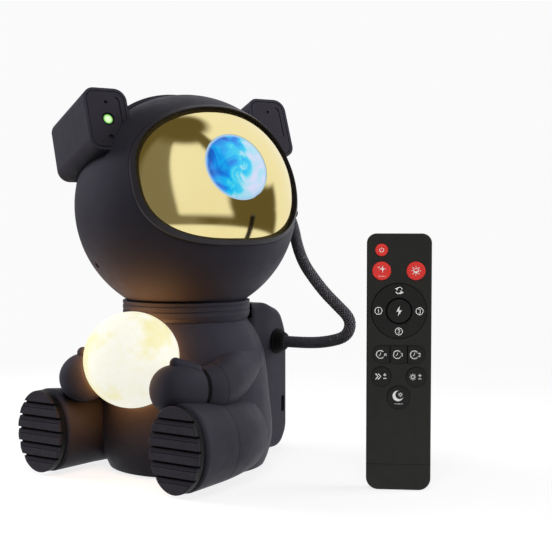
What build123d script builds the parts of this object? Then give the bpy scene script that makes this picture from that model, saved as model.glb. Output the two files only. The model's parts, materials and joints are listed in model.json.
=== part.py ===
"""Seated astronaut star projector: a turning head with a projection lens, a moon lamp, a hose and a remote.

The frame's origin is on the table under the middle of the body, +Z up. The astronaut looks along -Y when
its head is straight, and its left side is +X. It rests with the head turned to its left and tilted up.
"""

import os
from math import copysign, cos, pi, radians, sin, sqrt, tan

from build123d import *

# ---------------------------------------------------------------- driving dimensions (mm, degrees)

# Head
head_radius = 64.0
head_wall = 2.2
head_lift = 1.5              # of its lowest point above the torso's top
head_turn = 67.0             # of the resting face, from straight ahead to the astronaut's left
head_tilt = 20.0             # of the resting face above level
helmet_seam = -22.0          # seam between the helmet's shells, behind the middle of the head
seam_gap = 0.2
crown_height = 2.2           # raised band over the crown, from ear to ear
crown_width = 24.0
crown_span = 78.0
vent_slot = (30.0, 2.4)
vent_rows = 5
vent_pitch = 6.0
hole_radius = 2.0            # a dimple low on the helmet's right side
hole_place = (-54.5, -29.8, -16.0)

# Visor, rim and projection optics
visor_sink = 1.0             # of the gold shell's outer face below the helmet's
visor_thickness = 2.0
visor_half_width = 50.3
visor_half_height = 39.0
visor_fullness = 2.35        # exponent of the outline: 2 is an ellipse
rim_width = 2.1
rim_height = 1.0             # above the helmet
rim_ledge = 2.4              # ledge behind the visor's edge
ledge_thickness = 1.6
fit_gap = 0.15               # between fixed pieces that slip together
lens_radius = 19.0
lens_depth = 11.0            # of its back face behind the visor's outer face
lens_recess = 0.4            # below the visor
lens_ledge = 1.5             # of the barrel, under the lens
barrel_wall = 2.4
barrel_length = 22.0         # behind the lens
barrel_posts = (30, 150)     # angles of the two posts that carry the barrel
post_radius = 2.0
disc_radius = 27.0
disc_thickness = 2.0
disc_gap = 3.0               # between the barrel and the disc
disc_drop = 19.0             # the disc's shaft below the optical axis
hub_radius = 4.0
hub_length = 1.5
motor_radius = 10.0
motor_gap = 5.0              # between the motor and the disc's front
motor_nose = 2.0
shaft_radius = 1.5
shaft_fit = 0.05
condenser_radius = 8.0
condenser_lip = 1.5
condenser_gap = 4.0          # between the condenser and the disc
frame_back = 4.0
frame_thickness = 3.0
frame_holes = (38.0, -8.0, 13.0)     # across, up and radius
sink_size = 26.0
sink_depth = 14.0
sink_base = 3.0
sink_fins = 6
fin_thickness = 1.6
seat_plate_thickness = 1.6
seat_plate_angle = 28.0      # half angle of the steel plate, seen from the middle of the head
seat_plate_lean = 30.0       # of its middle behind straight down

# Ears
ear_angle = 38.0             # of each ear's middle above the head's middle
ear_stand = 3.25             # of each ear's middle above the helmet's face
ear_width = 26.0
ear_height = 36.8
ear_front = 24.5
ear_depth = 51.0
ear_corner = 7.0
ear_wall = 1.6
ear_plate_thickness = 2.2
ear_plate_gap = 0.3
ear_plate_round = 0.4
aperture_radius = 3.75
sensor_offset = 10.0
sensor_radius = 0.9
dimple_offset = 11.0
dimple_radius = 1.7
dimple_depth = 1.2
groove_inset = 2.6           # from the plate's edge to the groove on its left
groove_width = 0.7
groove_depth = 0.9
groove_end = 6.0             # below the plate's middle
laser_radius = 4.5
laser_nose = 3.1
laser_length = 9.5

# Collar under the head
seat_gap = 0.3               # between the head and its seat
collar_top = 96.2
collar_radius = 36.9
collar_foot_radius = 35.3
collar_ribs = 3
rib_pitch = 3.1
rib_groove = 0.5
spigot_radius = 21.0
spigot_gap = 0.08
magnet_radii = (8.0, 17.5)
magnet_height = 6.0
collar_foot = 0.2            # of the collar above the torso's top
collar_chamfer = 2.8         # height of its slope up from the foot
collar_first_rib = 2.0       # below its top
spigot_reach = 0.4           # of the spigot below the torso's top wall, where the retainer sits
retainer_thickness = 2.0
retainer_lip = 1.2

# Body
torso_top = 85.0
torso_foot = 0.9
torso_outline = [(45.2, torso_foot), (49.9, 18.5), (48.2, 41.0), (44.4, 68.1), (35.3, torso_top)]
torso_wall = 2.4
base_thickness = 2.5
base_gap = 0.3               # between the base plate and the shell around it
pad_radius = 38.0
pad_thickness = 1.2

# Moon lamp
moon_radius = 26.5
moon_wall = 1.5
moon_centre = (0.0, -48.5, 65.7)
moon_gap = 0.4               # between the globe and its dish
dish_wall = 2.2
lamp_radius = 9.0
lamp_flange = 12.0
lamp_flange_thickness = 2.0
lamp_reach = 8.0             # into the globe
bulb_radius = 6.0
bulb_length = 3.0

# Arms: one elbow, wrist and hand for each side, the left first
elbow_points = {1: (42.8, -30.0, 51.8), -1: (-41.0, -30.0, 53.0)}
wrist_points = {1: (39.9, -41.0, 51.3), -1: (-35.0, -42.0, 54.0)}
hand_points = {1: (36.2, -55.0, 52.8), -1: (-29.5, -55.0, 54.5)}
thumb_roots = {1: (40.6, -46.0, 61.8), -1: (-34.0, -46.0, 64.0)}
thumb_points = {1: (36.3, -55.5, 66.9), -1: (-29.0, -56.5, 68.5)}
shoulder_point = (29.0, 8.0, 60.0)
shoulder_radius = 16.5
arm_bow = 1.0                # of the upper arm, outwards
elbow_radius = 12.9
wrist_radius = 12.6
cuff_radius = 11.4
cuff_length = 2.4
hand_radius = 13.6
hand_shoulder = 0.4          # of the mitten's end inside the forearm's
thumb_root_radius = 5.0
thumb_tip_radius = 3.2
limb_seam = 0.3

# Legs
leg_across = 48.0            # middle of the boot's toe end
knee_across = 46.5           # at the seam between leg and boot
hip_across = 37.0
sole_front = 72.5
sole_thickness = 5.0
sole_half = (16.4, 23.0)
sole_gap = 1.6
tread_count = 5
tread_pitch = 7.55
tread_top = 16.7             # upper edge of the top groove above the sole's middle
tread_profile = [(-1.0, 0.0), (2.6, 0.0), (2.6, 1.4), (1.1, 1.4), (0.5, 3.3), (0.9, 3.3), (0.9, 3.6), (-1.0, 3.6)]
sole_round = 0.6
boot_half = (17.6, 23.6)
knee_half = (17.6, 22.0)
mid_thigh_half = (19.0, 21.6)
mid_thigh_across = 43.25
hip_half = (20.0, 21.0)
boot_seam = 36.0
toe_round = 2.5
toe_inset = 2.0              # of the neck that carries the sole, inside the sole's edge
leg_clearance = torso_foot   # above the table

# Backpack
pack_half_width = 31.0
pack_outline = [(22.0, 93.2), (39.0, 93.2), (54.0, 87.5), (61.0, 74.0), (61.0, 14.0), (54.0, 4.2), (22.0, 4.2)]
pack_corners = [0.01, 20.0, 12.0, 30.0, 16.0, 10.0, 0.01]
pack_edge = 4.0
pack_edge_start = 30.0       # the side edges in front of this stay sharp, against the body
pack_wall = 2.2
pack_back = 61.0
pack_gap = 1.2               # to the collar and the head
cover_size = (46.0, 54.0)
cover_height = 44.0          # middle of the cover above the table
cover_thickness = 2.0
cover_corner = 5.0
cover_posts = (38.0, 42.0, 2.5)      # spacing across and up, and radius
key_count = 3
key_pitch = 14.0
key_height = 58.0
key_radius = 4.4
key_gap = 0.2
key_flange = 0.9
key_travel = 0.8
key_stand = 1.4              # above the cover
key_fit = 0.1                # between a key's flange and the cover, and between the key and its switch
key_plate = 1.1              # thickness of the flange
key_round = 0.6
switch_size = 6.0
board_size = (44.0, 50.0)
board_thickness = 1.6
board_back = 52.6
usb_place = (55.1, 30.3)     # back from the body's axis and above the table
usb_slot = (3.4, 10.2)
usb_body = (8.5, 4.4, 9.2)
usb_mouth = (12.0, 2.4, 8.2)
gland_place = (48.8, 69.3)
gland_radius = 7.5
gland_length = 6.0
gland_flange = 1.4
gland_sleeve = (6.7, 5.3)    # radius at the flange and at the end
gland_stand = 1.2            # of the flange on the head, above the helmet and below it
gland_ribs = 3
gland_groove = 0.7

# Hose from the backpack to the side of the head
hose_radius = 3.5
elbow_stand = 6.0            # middle of the head's hose elbow from the helmet's face
elbow_bend_radius = 4.9
elbow_leg = 8.0
elbow_ribs = 3
elbow_rib = (0.7, 1.1)       # height and width
hose_route = [
    (pack_half_width + gland_length, 48.8, 69.3),
    (48.4, 48.8, 69.3),
    (60.2, 49.0, 69.9),
    (70.5, 49.3, 71.7),
    (78.2, 49.7, 74.4),
    (81.5, 50.0, 79.6),
    (80.6, 50.3, 85.7),
    (72.7, 50.6, 92.1),
    (63.6, 50.8, 99.6),
    (55.8, 51.0, 107.8),
    (48.4, 51.3, 116.6),
    (42.4, 53.2, 127.6),
    (38.2, 56.2, 138.0),
]
hose_join = 8                # the run in whose middle the hose's two lengths meet

# Remote control, standing beside the astronaut
remote_foot = (132.8, 12.1)
remote_turn = 27.5           # of its face, from straight ahead to the astronaut's left
remote_width = 33.9
remote_height = 135.3
remote_half = 4.5            # half thickness
remote_corners = (5.0, 6.4)  # top and bottom
remote_edge = 0.9            # rounding of the front and back
remote_wall = 1.4
cap_height = 13.8
cap_gap = 0.15
tray_size = (21.0, 24.0, 1.0)
tray_gap = 0.2               # over the rear case's wall
battery_radius = 10.0
battery_thickness = 2.5
remote_board = (26.0, 84.0, 1.0)
remote_board_top = 1.6
remote_board_gap = 0.3       # under the case's top wall
button_gap = 0.15
button_flange = 0.7
button_foot = 2.55
button_top = 5.2
button_round = 0.5
button_stop = 0.1            # between a button's flange and the case
centre_foot = 0.3            # of the centre button below the other buttons' feet
ring_radii = (6.9, 14.4)
ring_gap = 0.3
ring_drop = 40.5             # below the top of the remote, as are the buttons' places
centre_radius = 6.3
pad_ring = (7.0, 7.7)
pad_ring_stand = (0.35, 0.25)        # above the board, and height
timer_drop = 63.4
timer_size = (27.3, 9.0)
timer_gap = 0.5
round_buttons = {
    "power_button": (-9.2, 8.6, 3.3),
    "star_button": (-9.1, 19.6, 4.9),
    "nebula_button": (8.7, 19.5, 4.9),
    "speed_button": (-9.1, 75.1, 5.2),
    "brightness_button": (9.1, 75.1, 5.2),
    "night_button": (0.0, 86.0, 6.0),
}

# ---------------------------------------------------------------- planes

head_height = torso_top + head_lift + head_radius
visor_radius = head_radius - visor_sink
lens_back = visor_radius - lens_depth
barrel_back = lens_back - barrel_length
disc_front = barrel_back - disc_gap
motor_front = disc_front - motor_gap
ear_across = (head_radius + ear_stand) * cos(radians(ear_angle))
ear_above = (head_radius + ear_stand) * sin(radians(ear_angle))
elbow_reach = head_radius + elbow_stand
turn = radians(head_turn)
tilt = radians(head_tilt)
head_left = Vector(cos(turn), sin(turn), 0)
head_forward = Vector(sin(turn) * cos(tilt), -cos(turn) * cos(tilt), sin(tilt))
head_middle = Vector(0, 0, head_height)
HEAD = Plane(origin=head_middle, x_dir=head_left, z_dir=head_forward)      # across, up, ahead

facing = radians(remote_turn)
remote_normal = Vector(sin(facing), -cos(facing), 0)
REMOTE = Plane(
    origin=(*remote_foot, 0),
    x_dir=(cos(facing), sin(facing), 0),
    z_dir=remote_normal,
)                                                                          # across, up, out of the face

front_half = Align.CENTER, Align.CENTER, Align.MIN
back_half = Align.CENTER, Align.CENTER, Align.MAX
beyond = 4 * head_radius     # longer than anything that is cut
pieces = []


def finish(piece, name):
    """Label a finished piece and keep it for export."""
    piece.part.label = name
    pieces.append(piece.part)


def add_oval(half_width, half_height, mode=Mode.ADD):
    """Draw the visor's outline, an oval with fuller corners than an ellipse, in the sketch in hand."""
    points = []
    for step in range(24):
        angle = 2 * pi * step / 24
        across = copysign(abs(cos(angle)) ** (2 / visor_fullness), cos(angle))
        up = copysign(abs(sin(angle)) ** (2 / visor_fullness), sin(angle))
        points.append((half_width * across, half_height * up))
    with BuildLine() as outline:
        Spline(*points, periodic=True)
    make_face(outline.edges(), mode=mode)


def plane_towards(start, end):
    """A plane at start whose normal points to end, with its x axis level."""
    normal = (Vector(*end) - Vector(*start)).normalized()
    level = Vector(0, 0, 1).cross(normal)
    return Plane(origin=start, x_dir=level, z_dir=normal)


# ---------------------------------------------------------------- helmet

with BuildPart() as crown_band:                     # in the head's own coordinates
    Sphere(head_radius + crown_height)
    with Locations((0, head_radius, 0)):
        Box(crown_span, head_radius, crown_width, mode=Mode.INTERSECT)
    Sphere(head_radius - head_wall, mode=Mode.SUBTRACT)

with BuildPart(HEAD) as helmet_front_shell:
    Sphere(head_radius)
    Sphere(head_radius - head_wall, mode=Mode.SUBTRACT)
    with Locations((0, 0, helmet_seam)):
        Box(beyond, beyond, beyond, align=back_half, mode=Mode.SUBTRACT)
    add(crown_band.part)
    with BuildSketch(HEAD):
        add_oval(visor_half_width + rim_width + fit_gap, visor_half_height + rim_width + fit_gap)
    extrude(amount=beyond, mode=Mode.SUBTRACT)
    with Locations(hole_place):
        Sphere(hole_radius, mode=Mode.SUBTRACT)
finish(helmet_front_shell, "helmet_front_shell")

with BuildPart(HEAD) as helmet_rear_shell:
    Sphere(head_radius)
    Sphere(head_radius - head_wall, mode=Mode.SUBTRACT)
    with Locations((0, 0, helmet_seam - seam_gap)):
        Box(beyond, beyond, beyond, align=front_half, mode=Mode.SUBTRACT)
    with BuildSketch(HEAD.offset(-head_radius - 1)):
        with GridLocations(1, vent_pitch, 1, vent_rows):
            SlotOverall(*vent_slot)
    extrude(amount=head_radius / 2, mode=Mode.SUBTRACT)
finish(helmet_rear_shell, "helmet_rear_shell")

# ---------------------------------------------------------------- visor and its rim

ledge_back = visor_radius - visor_thickness - fit_gap - ledge_thickness

with BuildPart() as visor_ledge:                    # in the head's own coordinates
    Sphere(visor_radius - visor_thickness - fit_gap)
    Sphere(ledge_back, mode=Mode.SUBTRACT)
    with BuildSketch():
        add_oval(visor_half_width + rim_width, visor_half_height + rim_width)
        add_oval(visor_half_width - rim_ledge, visor_half_height - rim_ledge, Mode.SUBTRACT)
    extrude(amount=beyond, mode=Mode.INTERSECT)

with BuildPart(HEAD) as visor_rim:
    Sphere(head_radius + rim_height)
    Sphere(ledge_back, mode=Mode.SUBTRACT)
    with BuildSketch(HEAD):
        add_oval(visor_half_width + rim_width, visor_half_height + rim_width)
        add_oval(visor_half_width + fit_gap, visor_half_height + fit_gap, Mode.SUBTRACT)
    extrude(amount=beyond, mode=Mode.INTERSECT)
    add(visor_ledge.part)
finish(visor_rim, "visor_rim")

with BuildPart(HEAD) as visor:
    Sphere(visor_radius)
    Sphere(visor_radius - visor_thickness, mode=Mode.SUBTRACT)
    with BuildSketch(HEAD):
        add_oval(visor_half_width, visor_half_height)
        Circle(lens_radius + fit_gap, mode=Mode.SUBTRACT)
    extrude(amount=beyond, mode=Mode.INTERSECT)
finish(visor, "visor")

# ---------------------------------------------------------------- optics in the head

with BuildPart(HEAD) as projection_lens:
    with BuildSketch(HEAD.offset(lens_back)):
        Circle(lens_radius)
    extrude(amount=head_radius)
    Sphere(visor_radius - lens_recess, mode=Mode.INTERSECT)
finish(projection_lens, "projection_lens")

barrel_radius = lens_radius + barrel_wall
barrel_front = sqrt((visor_radius - visor_thickness) ** 2 - barrel_radius ** 2) - fit_gap
with BuildPart() as lens_barrel:
    with BuildSketch(HEAD.offset(barrel_back)):
        Circle(barrel_radius)
        Circle(lens_radius - lens_ledge, mode=Mode.SUBTRACT)
    extrude(amount=barrel_front - barrel_back)
    with BuildSketch(HEAD.offset(lens_back)):
        Circle(lens_radius + shaft_fit)
    extrude(amount=barrel_front, mode=Mode.SUBTRACT)
finish(lens_barrel, "lens_barrel")

frame_front = frame_back + frame_thickness
post_places = [(barrel_radius - post_radius) * Vector(1, 0).rotate(Axis.Z, angle) for angle in barrel_posts]
hole_across, hole_up, frame_hole = frame_holes
with BuildPart(HEAD) as head_frame:
    with BuildSketch(HEAD.offset(frame_back)):
        Circle(head_radius)
        with Locations((0, -disc_drop)):
            Circle(motor_radius + shaft_fit, mode=Mode.SUBTRACT)
        with Locations((-hole_across, hole_up), (hole_across, hole_up)):
            Circle(frame_hole, mode=Mode.SUBTRACT)
    extrude(amount=frame_thickness)
    Sphere(head_radius - head_wall - fit_gap, mode=Mode.INTERSECT)
    with BuildSketch(HEAD.offset(frame_front)):
        with Locations(*post_places):
            Circle(post_radius)
    extrude(amount=barrel_back - frame_front)
finish(head_frame, "head_frame")

with BuildPart() as led_heat_sink:
    with BuildSketch(HEAD.offset(frame_back - sink_depth)):
        with Locations((0, sink_size / 2 - condenser_radius)):
            with GridLocations(sink_size / sink_fins, 1, sink_fins, 1):
                Rectangle(fin_thickness, sink_size)
    extrude(amount=sink_depth - sink_base)
    with BuildSketch(HEAD.offset(frame_back - sink_base)):
        with Locations((0, sink_size / 2 - condenser_radius)):
            Rectangle(sink_size, sink_size)
    extrude(amount=sink_base)
finish(led_heat_sink, "led_heat_sink")

with BuildPart() as led_condenser:
    half_length = (disc_front - disc_thickness - condenser_gap - frame_front) / 2
    with BuildSketch(HEAD.offset(frame_front)):
        Circle(condenser_radius)
    extrude(amount=half_length)
    with BuildSketch(HEAD.offset(frame_front + half_length)):
        Circle(condenser_radius - condenser_lip)
    extrude(amount=half_length, taper=25)
finish(led_condenser, "led_condenser")

with BuildPart() as nebula_motor:
    for back, front, radius in (
        (frame_back - motor_nose, motor_front - motor_nose, motor_radius),
        (motor_front - motor_nose, motor_front, motor_radius / 2),
        (motor_front, disc_front, shaft_radius),
    ):
        with BuildSketch(HEAD.offset(back)):
            with Locations((0, -disc_drop)):
                Circle(radius)
        extrude(amount=front - back)
finish(nebula_motor, "nebula_motor")

with BuildPart() as nebula_disc:
    for back, front, radius in (
        (disc_front - disc_thickness, disc_front, disc_radius),
        (disc_front - disc_thickness - hub_length, disc_front - disc_thickness, hub_radius),
    ):
        with BuildSketch(HEAD.offset(back)):
            with Locations((0, -disc_drop)):
                Circle(radius)
        extrude(amount=front - back)
    with BuildSketch(HEAD.offset(motor_front)):
        with Locations((0, -disc_drop)):
            Circle(shaft_radius + shaft_fit)
    extrude(amount=beyond, mode=Mode.SUBTRACT)
finish(nebula_disc, "nebula_disc")

lean = radians(seat_plate_lean)
plate_axis = HEAD.from_local_coords(Vector(0, -cos(lean), -sin(lean))) - head_middle
plate_reach = head_radius - head_wall - fit_gap
with BuildPart(Plane(origin=head_middle, z_dir=plate_axis)) as seat_plate:
    Sphere(plate_reach)
    Sphere(plate_reach - seat_plate_thickness, mode=Mode.SUBTRACT)
    with Locations((0, 0, 0)):
        Cylinder(
            plate_reach * sin(radians(seat_plate_angle)),
            beyond,
            align=front_half,
            mode=Mode.INTERSECT,
        )
finish(seat_plate, "seat_plate")

# ---------------------------------------------------------------- ears


def make_ear_housing(side):
    """An ear: a deep rounded box, open at the front, that stands on the helmet."""
    with BuildPart(HEAD) as housing:
        with BuildSketch(HEAD.offset(ear_front - ear_depth)):
            with Locations((side * ear_across, ear_above)):
                RectangleRounded(ear_width, ear_height, ear_corner)
        extrude(amount=ear_depth)
        rim = housing.faces().sort_by(Axis(head_middle, head_forward))[0].edges()
        fillet(rim, ear_corner / 2)
        with BuildSketch(HEAD.offset(ear_front - ear_depth + 2 * ear_wall)):
            with Locations((side * ear_across, ear_above)):
                RectangleRounded(ear_width - 2 * ear_wall, ear_height - 2 * ear_wall, ear_corner - ear_wall)
        extrude(amount=ear_depth, mode=Mode.SUBTRACT)
        Sphere(head_radius, mode=Mode.SUBTRACT)
        add(crown_band.part, mode=Mode.SUBTRACT)
    return housing


def make_ear_plate(side):
    """The plate in an ear's front: a pinhole, a dimple, a groove down its left, and the right ear's aperture."""
    width = ear_width - 2 * ear_wall - 2 * ear_plate_gap
    height = ear_height - 2 * ear_wall - 2 * ear_plate_gap
    corner = ear_corner - ear_wall - ear_plate_gap
    with BuildPart(HEAD) as plate:
        with BuildSketch(HEAD.offset(ear_front - ear_plate_thickness)):
            with Locations((side * ear_across, ear_above)):
                RectangleRounded(width, height, corner)
        extrude(amount=ear_plate_thickness)
        fillet(plate.faces().sort_by(Axis(head_middle, head_forward))[-1].edges(), ear_plate_round)
        with BuildSketch(HEAD.offset(ear_front)):
            with Locations((side * ear_across, ear_above + sensor_offset)):
                Circle(sensor_radius)
            if side < 0:
                with Locations((side * ear_across, ear_above)):
                    Circle(aperture_radius)
        extrude(amount=-ear_plate_thickness, mode=Mode.SUBTRACT)
        with BuildSketch(HEAD.offset(ear_front)):
            with Locations((side * ear_across, ear_above)):
                for inset, mode in ((groove_inset, Mode.ADD), (groove_inset + groove_width, Mode.SUBTRACT)):
                    RectangleRounded(width - 2 * inset, height - 2 * inset, corner - inset / 2, mode=mode)
            with Locations((side * ear_across + width / 2 - corner, ear_above - groove_end)):
                Rectangle(width, height, align=(Align.MIN, Align.MIN), mode=Mode.INTERSECT)
        extrude(amount=-groove_depth, mode=Mode.SUBTRACT)
        with Locations((side * ear_across, ear_above - dimple_offset, ear_front)):
            Cylinder(dimple_radius, 2 * dimple_depth, mode=Mode.SUBTRACT)
        Sphere(head_radius + fit_gap, mode=Mode.SUBTRACT)
    return plate


finish(make_ear_housing(1), "left_ear_housing")
finish(make_ear_housing(-1), "right_ear_housing")
with BuildPart() as ear_plates:
    for side in (1, -1):
        add(make_ear_plate(side).part)
finish(ear_plates, "ear_plates")

with BuildPart() as laser_module:
    plate_back = ear_front - ear_plate_thickness
    with BuildSketch(HEAD.offset(plate_back - laser_length)):
        with Locations((-ear_across, ear_above)):
            Circle(laser_radius)
    extrude(amount=laser_length)
    with BuildSketch(HEAD.offset(plate_back)):
        with Locations((-ear_across, ear_above)):
            Circle(laser_nose)
    extrude(amount=ear_plate_thickness - ear_plate_round)
finish(laser_module, "laser_module")

# ---------------------------------------------------------------- torso with its upper arms and thighs


def add_torso_face(inset, low, high):
    """Draw half of the torso's section, inset from its outer face, between two heights."""
    points = [(radius - inset, height) for radius, height in torso_outline]
    with BuildLine() as section:
        Spline(*points)
        Line(points[-1], (0, points[-1][1]))
        Line((0, points[-1][1]), (0, points[0][1]))
        Line((0, points[0][1]), points[0])
    make_face(section.edges())
    with Locations((0, (low + high) / 2)):
        Rectangle(beyond, high - low, mode=Mode.INTERSECT)


with BuildPart() as torso_form:
    with BuildSketch(Plane.XZ):
        add_torso_face(0, torso_foot, torso_top)
    revolve(axis=Axis.Z)

with BuildPart() as torso_hollow:
    with BuildSketch(Plane.XZ):
        add_torso_face(torso_wall, 0, torso_top - torso_wall)
    revolve(axis=Axis.Z)


def make_arm(side):
    """A whole arm, from inside the torso over the elbow to the wrist."""
    elbow = elbow_points[side]
    wrist = wrist_points[side]
    shoulder = (side * shoulder_point[0], shoulder_point[1], shoulder_point[2])
    middle = tuple((s + e) / 2 + bow for s, e, bow in zip(shoulder, elbow, (side * arm_bow, 0, 0)))
    with BuildPart() as arm:
        for start, end, radius in (
            (shoulder, middle, shoulder_radius),
            (middle, elbow, (shoulder_radius + elbow_radius) / 2),
            (elbow, wrist, elbow_radius),
            (wrist, hand_points[side], wrist_radius),
        ):
            with BuildSketch(plane_towards(start, end)):
                Circle(radius)
        loft()
        with Locations(shoulder):
            Sphere(shoulder_radius)
    return arm


def elbow_seam(side):
    """The plane of the seam at an elbow, facing the wrist."""
    return plane_towards(elbow_points[side], wrist_points[side])


def make_thigh(side):
    """A thigh, from beside the torso to the boot seam."""
    with BuildPart() as thigh:
        for back, across, half in (
            (0.0, hip_across, hip_half),
            (boot_seam / 2, mid_thigh_across, mid_thigh_half),
            (boot_seam, knee_across, knee_half),
        ):
            with BuildSketch(Plane.XZ.offset(back)):
                with Locations((side * across, leg_clearance + half[1])):
                    Ellipse(*half)
        loft()
    return thigh


def make_upper_arm(side):
    with BuildPart() as upper_arm:
        add(make_arm(side).part)
        split(bisect_by=elbow_seam(side), keep=Keep.BOTTOM)
    return upper_arm


with BuildPart() as body_form:
    add(torso_form.part)
    for side in (1, -1):
        add(make_thigh(side).part)

with BuildPart() as dish:
    add(torso_form.part)
    with Locations(moon_centre):
        Sphere(moon_radius + moon_gap + dish_wall, mode=Mode.INTERSECT)

with BuildPart() as torso_shell:
    add(body_form.part)
    for side in (1, -1):
        add(make_upper_arm(side).part)
    add(torso_hollow.part, mode=Mode.SUBTRACT)
    add(dish.part)
    with Locations(moon_centre):
        Sphere(moon_radius + moon_gap, mode=Mode.SUBTRACT)
    with BuildSketch(Plane.XY.offset(torso_top)):
        Circle(spigot_radius + spigot_gap)
    extrude(amount=-2 * torso_wall, mode=Mode.SUBTRACT)
    with BuildSketch(Plane.XZ):
        with Locations((moon_centre[0], moon_centre[2])):
            Circle(lamp_radius + fit_gap)
    extrude(amount=-moon_centre[1], mode=Mode.SUBTRACT)
finish(torso_shell, "torso_shell")

with BuildPart() as base_plate:
    with BuildSketch(Plane.XY.offset(pad_thickness)):
        Circle(torso_outline[0][0] - torso_wall - base_gap)
    extrude(amount=base_thickness)
finish(base_plate, "base_plate")

with BuildPart() as base_pad:
    with BuildSketch(Plane.XY):
        Circle(pad_radius)
    extrude(amount=pad_thickness)
finish(base_pad, "base_pad")

# ---------------------------------------------------------------- boots and soles


def make_boot(side):
    toe = sole_front - sole_thickness - sole_gap
    with BuildPart() as boot:
        for ahead, across, half in (
            (boot_seam + limb_seam, knee_across, knee_half),
            (toe, leg_across, boot_half),
        ):
            with BuildSketch(Plane.XZ.offset(ahead)):
                with Locations((side * across, leg_clearance + half[1])):
                    Ellipse(*half)
        loft()
        fillet(boot.faces().sort_by(Axis.Y)[0].edges(), toe_round)
        with BuildSketch(Plane.XZ.offset(toe)):
            with Locations((side * leg_across, leg_clearance + boot_half[1])):
                Ellipse(sole_half[0] - toe_inset, sole_half[1] - toe_inset)
        extrude(amount=sole_gap)
        add(torso_form.part, mode=Mode.SUBTRACT)
    return boot


def make_sole(side):
    """A sole with grooves across it; under each groove a sloping ridge runs down to a fine step."""
    centre = leg_clearance + boot_half[1]
    with BuildPart() as sole:
        with BuildSketch(Plane.XZ.offset(sole_front - sole_thickness)):
            with Locations((side * leg_across, centre)):
                Ellipse(*sole_half)
        extrude(amount=sole_thickness)
        fillet(sole.faces().sort_by(Axis.Y)[0].edges(), sole_round)
        with BuildSketch(Plane.YZ.offset(side * leg_across - boot_half[0])):
            for tread in range(tread_count):
                upper = centre + tread_top - tread * tread_pitch
                with BuildLine() as outline:
                    Polyline([(depth - sole_front, upper - drop) for depth, drop in tread_profile], close=True)
                make_face(outline.edges())
        extrude(amount=2 * boot_half[0], mode=Mode.SUBTRACT)
    return sole


boots = {side: make_boot(side) for side in (1, -1)}
finish(boots[1], "left_boot")
finish(boots[-1], "right_boot")

with BuildPart() as boot_soles:
    for side in (1, -1):
        add(make_sole(side).part)
finish(boot_soles, "boot_soles")

# ---------------------------------------------------------------- forearms, cuffs and hands


def cut_to_body(side):
    """Cut the piece in hand to the torso, thigh and boot that it lies against."""
    add(body_form.part, mode=Mode.SUBTRACT)
    add(boots[side].part, mode=Mode.SUBTRACT)


def make_forearm(side):
    with BuildPart() as forearm:
        add(make_arm(side).part)
        split(bisect_by=elbow_seam(side).offset(limb_seam), keep=Keep.TOP)
        cut_to_body(side)
    return forearm


def make_hand(side):
    """A mitten, cut to the globe that it holds, with its thumb on top."""
    root = plane_towards(wrist_points[side], hand_points[side])
    reach = (Vector(*hand_points[side]) - Vector(*wrist_points[side])).length
    thumb_root = plane_towards(thumb_roots[side], thumb_points[side])
    thumb_tip = Plane(origin=thumb_points[side], x_dir=thumb_root.x_dir, z_dir=thumb_root.z_dir)
    section = Plane(origin=root.origin, x_dir=root.x_dir, z_dir=-root.y_dir)      # its y axis runs to the hand
    with BuildPart() as mitten:
        with BuildSketch(section):
            with BuildLine():
                Line((0, cuff_length), (wrist_radius - hand_shoulder, cuff_length))
                Spline(
                    (wrist_radius - hand_shoulder, cuff_length),
                    (hand_radius, reach),
                    (0, reach + hand_radius),
                    tangents=((0.2, 1), (-1, 0)),
                )
                Line((0, reach + hand_radius), (0, cuff_length))
            make_face()
        revolve(axis=Axis(root.origin, root.z_dir))
        for place, radius in ((thumb_root, thumb_root_radius), (thumb_tip, thumb_tip_radius)):
            with BuildSketch(place):
                Circle(radius)
        loft()
        for point, radius in ((thumb_roots[side], thumb_root_radius), (thumb_points[side], thumb_tip_radius)):
            with Locations(point):
                Sphere(radius)
        split(bisect_by=root.offset(cuff_length), keep=Keep.TOP)
        with Locations(moon_centre):
            Sphere(moon_radius + moon_gap, mode=Mode.SUBTRACT)
        cut_to_body(side)
    return mitten


for side, name in ((1, "left"), (-1, "right")):
    finish(make_forearm(side), name + "_forearm")
    finish(make_hand(side), name + "_hand")

with BuildPart() as wrist_cuffs:
    for side in (1, -1):
        with BuildSketch(plane_towards(wrist_points[side], hand_points[side])):
            Circle(cuff_radius)
        extrude(amount=cuff_length)
        cut_to_body(side)
finish(wrist_cuffs, "wrist_cuffs")

# ---------------------------------------------------------------- moon lamp


def make_moon(inset):
    """The moon's globe, notched where the collar passes it, inset from its outer face."""
    with BuildPart() as moon:
        with Locations(moon_centre):
            Sphere(moon_radius - inset)
        with BuildSketch(Plane.XY.offset(torso_top - moon_gap - inset)):
            Circle(collar_radius + moon_gap + inset)
        extrude(amount=beyond, mode=Mode.SUBTRACT)
    return moon


with BuildPart() as moon_globe:
    add(make_moon(0).part)
    add(make_moon(moon_wall).part, mode=Mode.SUBTRACT)
    with BuildSketch(Plane.XZ):
        with Locations((moon_centre[0], moon_centre[2])):
            Circle(lamp_radius + fit_gap)
    extrude(amount=-moon_centre[1], mode=Mode.SUBTRACT)
finish(moon_globe, "moon_globe")

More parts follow.
